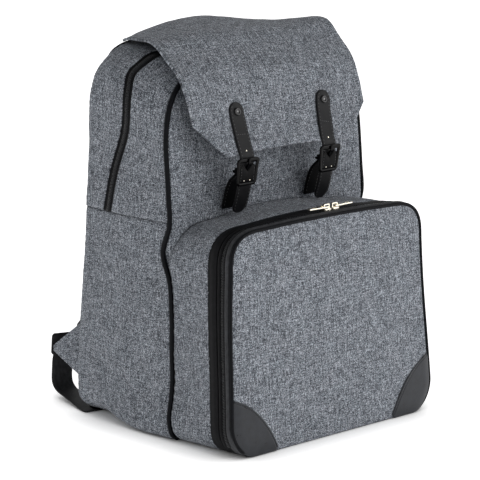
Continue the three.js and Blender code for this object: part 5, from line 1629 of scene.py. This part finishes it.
def area_light(name, at, size, power):
    data = bpy.data.lights.new(name, "AREA")
    data.shape = "RECTANGLE"
    data.size, data.size_y = size
    data.energy = power
    light = bpy.data.objects.new(name, data)
    light.location = at
    light.rotation_euler = (Vector(LIGHT_AIM) - Vector(at)).to_track_quat("-Z", "Y").to_euler()
    bpy.context.scene.collection.objects.link(light)


def add_floor():
    mesh = bpy.data.meshes.new("floor")
    corners = [(x * FLOOR_REACH, y * FLOOR_REACH, 0) for x, y in ((-1, -1), (1, -1), (1, 1), (-1, 1))]
    mesh.from_pydata(corners, [], [(0, 1, 2, 3)])
    white = {"Base Color": (0.93, 0.93, 0.93, 1), "Roughness": 0.7, "Specular IOR Level": 0.1,
             "Emission Strength": FLOOR_GLOW}
    look, tree, shader = new_look("white_floor", white)
    # The floor's glow dims where the bag hems it in: a painted contact shadow
    glow_in_painted_shadow = ramp(tree, openness(tree, SHADE_REACH), (0.35, even(0)), (0.88, even(1)))
    tree.links.new(glow_in_painted_shadow, shader.inputs["Emission Color"])
    mesh.materials.append(look)
    floor = bpy.data.objects.new("floor", mesh)
    bpy.context.scene.collection.objects.link(floor)


def add_studio():
    world = bpy.data.worlds.new("studio")
    world.use_nodes = True
    tree = world.node_tree
    place = node(tree, "ShaderNodeTexCoord").outputs["Generated"]
    height = node(tree, "ShaderNodeSeparateXYZ", {"Vector": place}).outputs["Z"]
    sky = ramp(tree, height, *((at, even(tone)) for at, tone in WORLD_TONES))
    tree.links.new(sky, tree.nodes["Background"].inputs["Color"])
    tree.nodes["Background"].inputs["Strength"].default_value = 1.0
    bpy.context.scene.world = world
    for light in LIGHTS:
        area_light(*light)


def add_camera():
    azimuth, elevation = math.radians(CAMERA["azimuth"]), math.radians(CAMERA["elevation"])
    back = Vector((math.sin(azimuth) * math.cos(elevation), -math.cos(azimuth) * math.cos(elevation),
                   math.sin(elevation)))
    data = bpy.data.cameras.new("photo_camera")
    data.lens = CAMERA["lens"]
    data.sensor_width = CAMERA["sensor"]
    data.clip_end = VIEW_END
    camera = bpy.data.objects.new("photo_camera", data)
    camera.location = Vector(CAMERA["target"]) * MM + back * CAMERA["distance"] * MM
    camera.rotation_euler = back.to_track_quat("Z", "Y").to_euler()
    bpy.context.scene.collection.objects.link(camera)
    bpy.context.scene.camera = camera
    bpy.context.scene.view_settings.view_transform = "Standard"


add_body_walls()
add_body_pipings()
add_panels()
add_case_walls()
add_patches()
add_flap()
for side_name, side_sign in SIDES:
    add_buckled_strap(side_name)
    add_shoulder_pad(side_name, side_sign)
    add_webbing(side_name, side_sign)
    add_strap_tab(side_name, side_sign)
add_back_panel()
finish_hard_nodes()
add_floor()
add_studio()
add_camera()
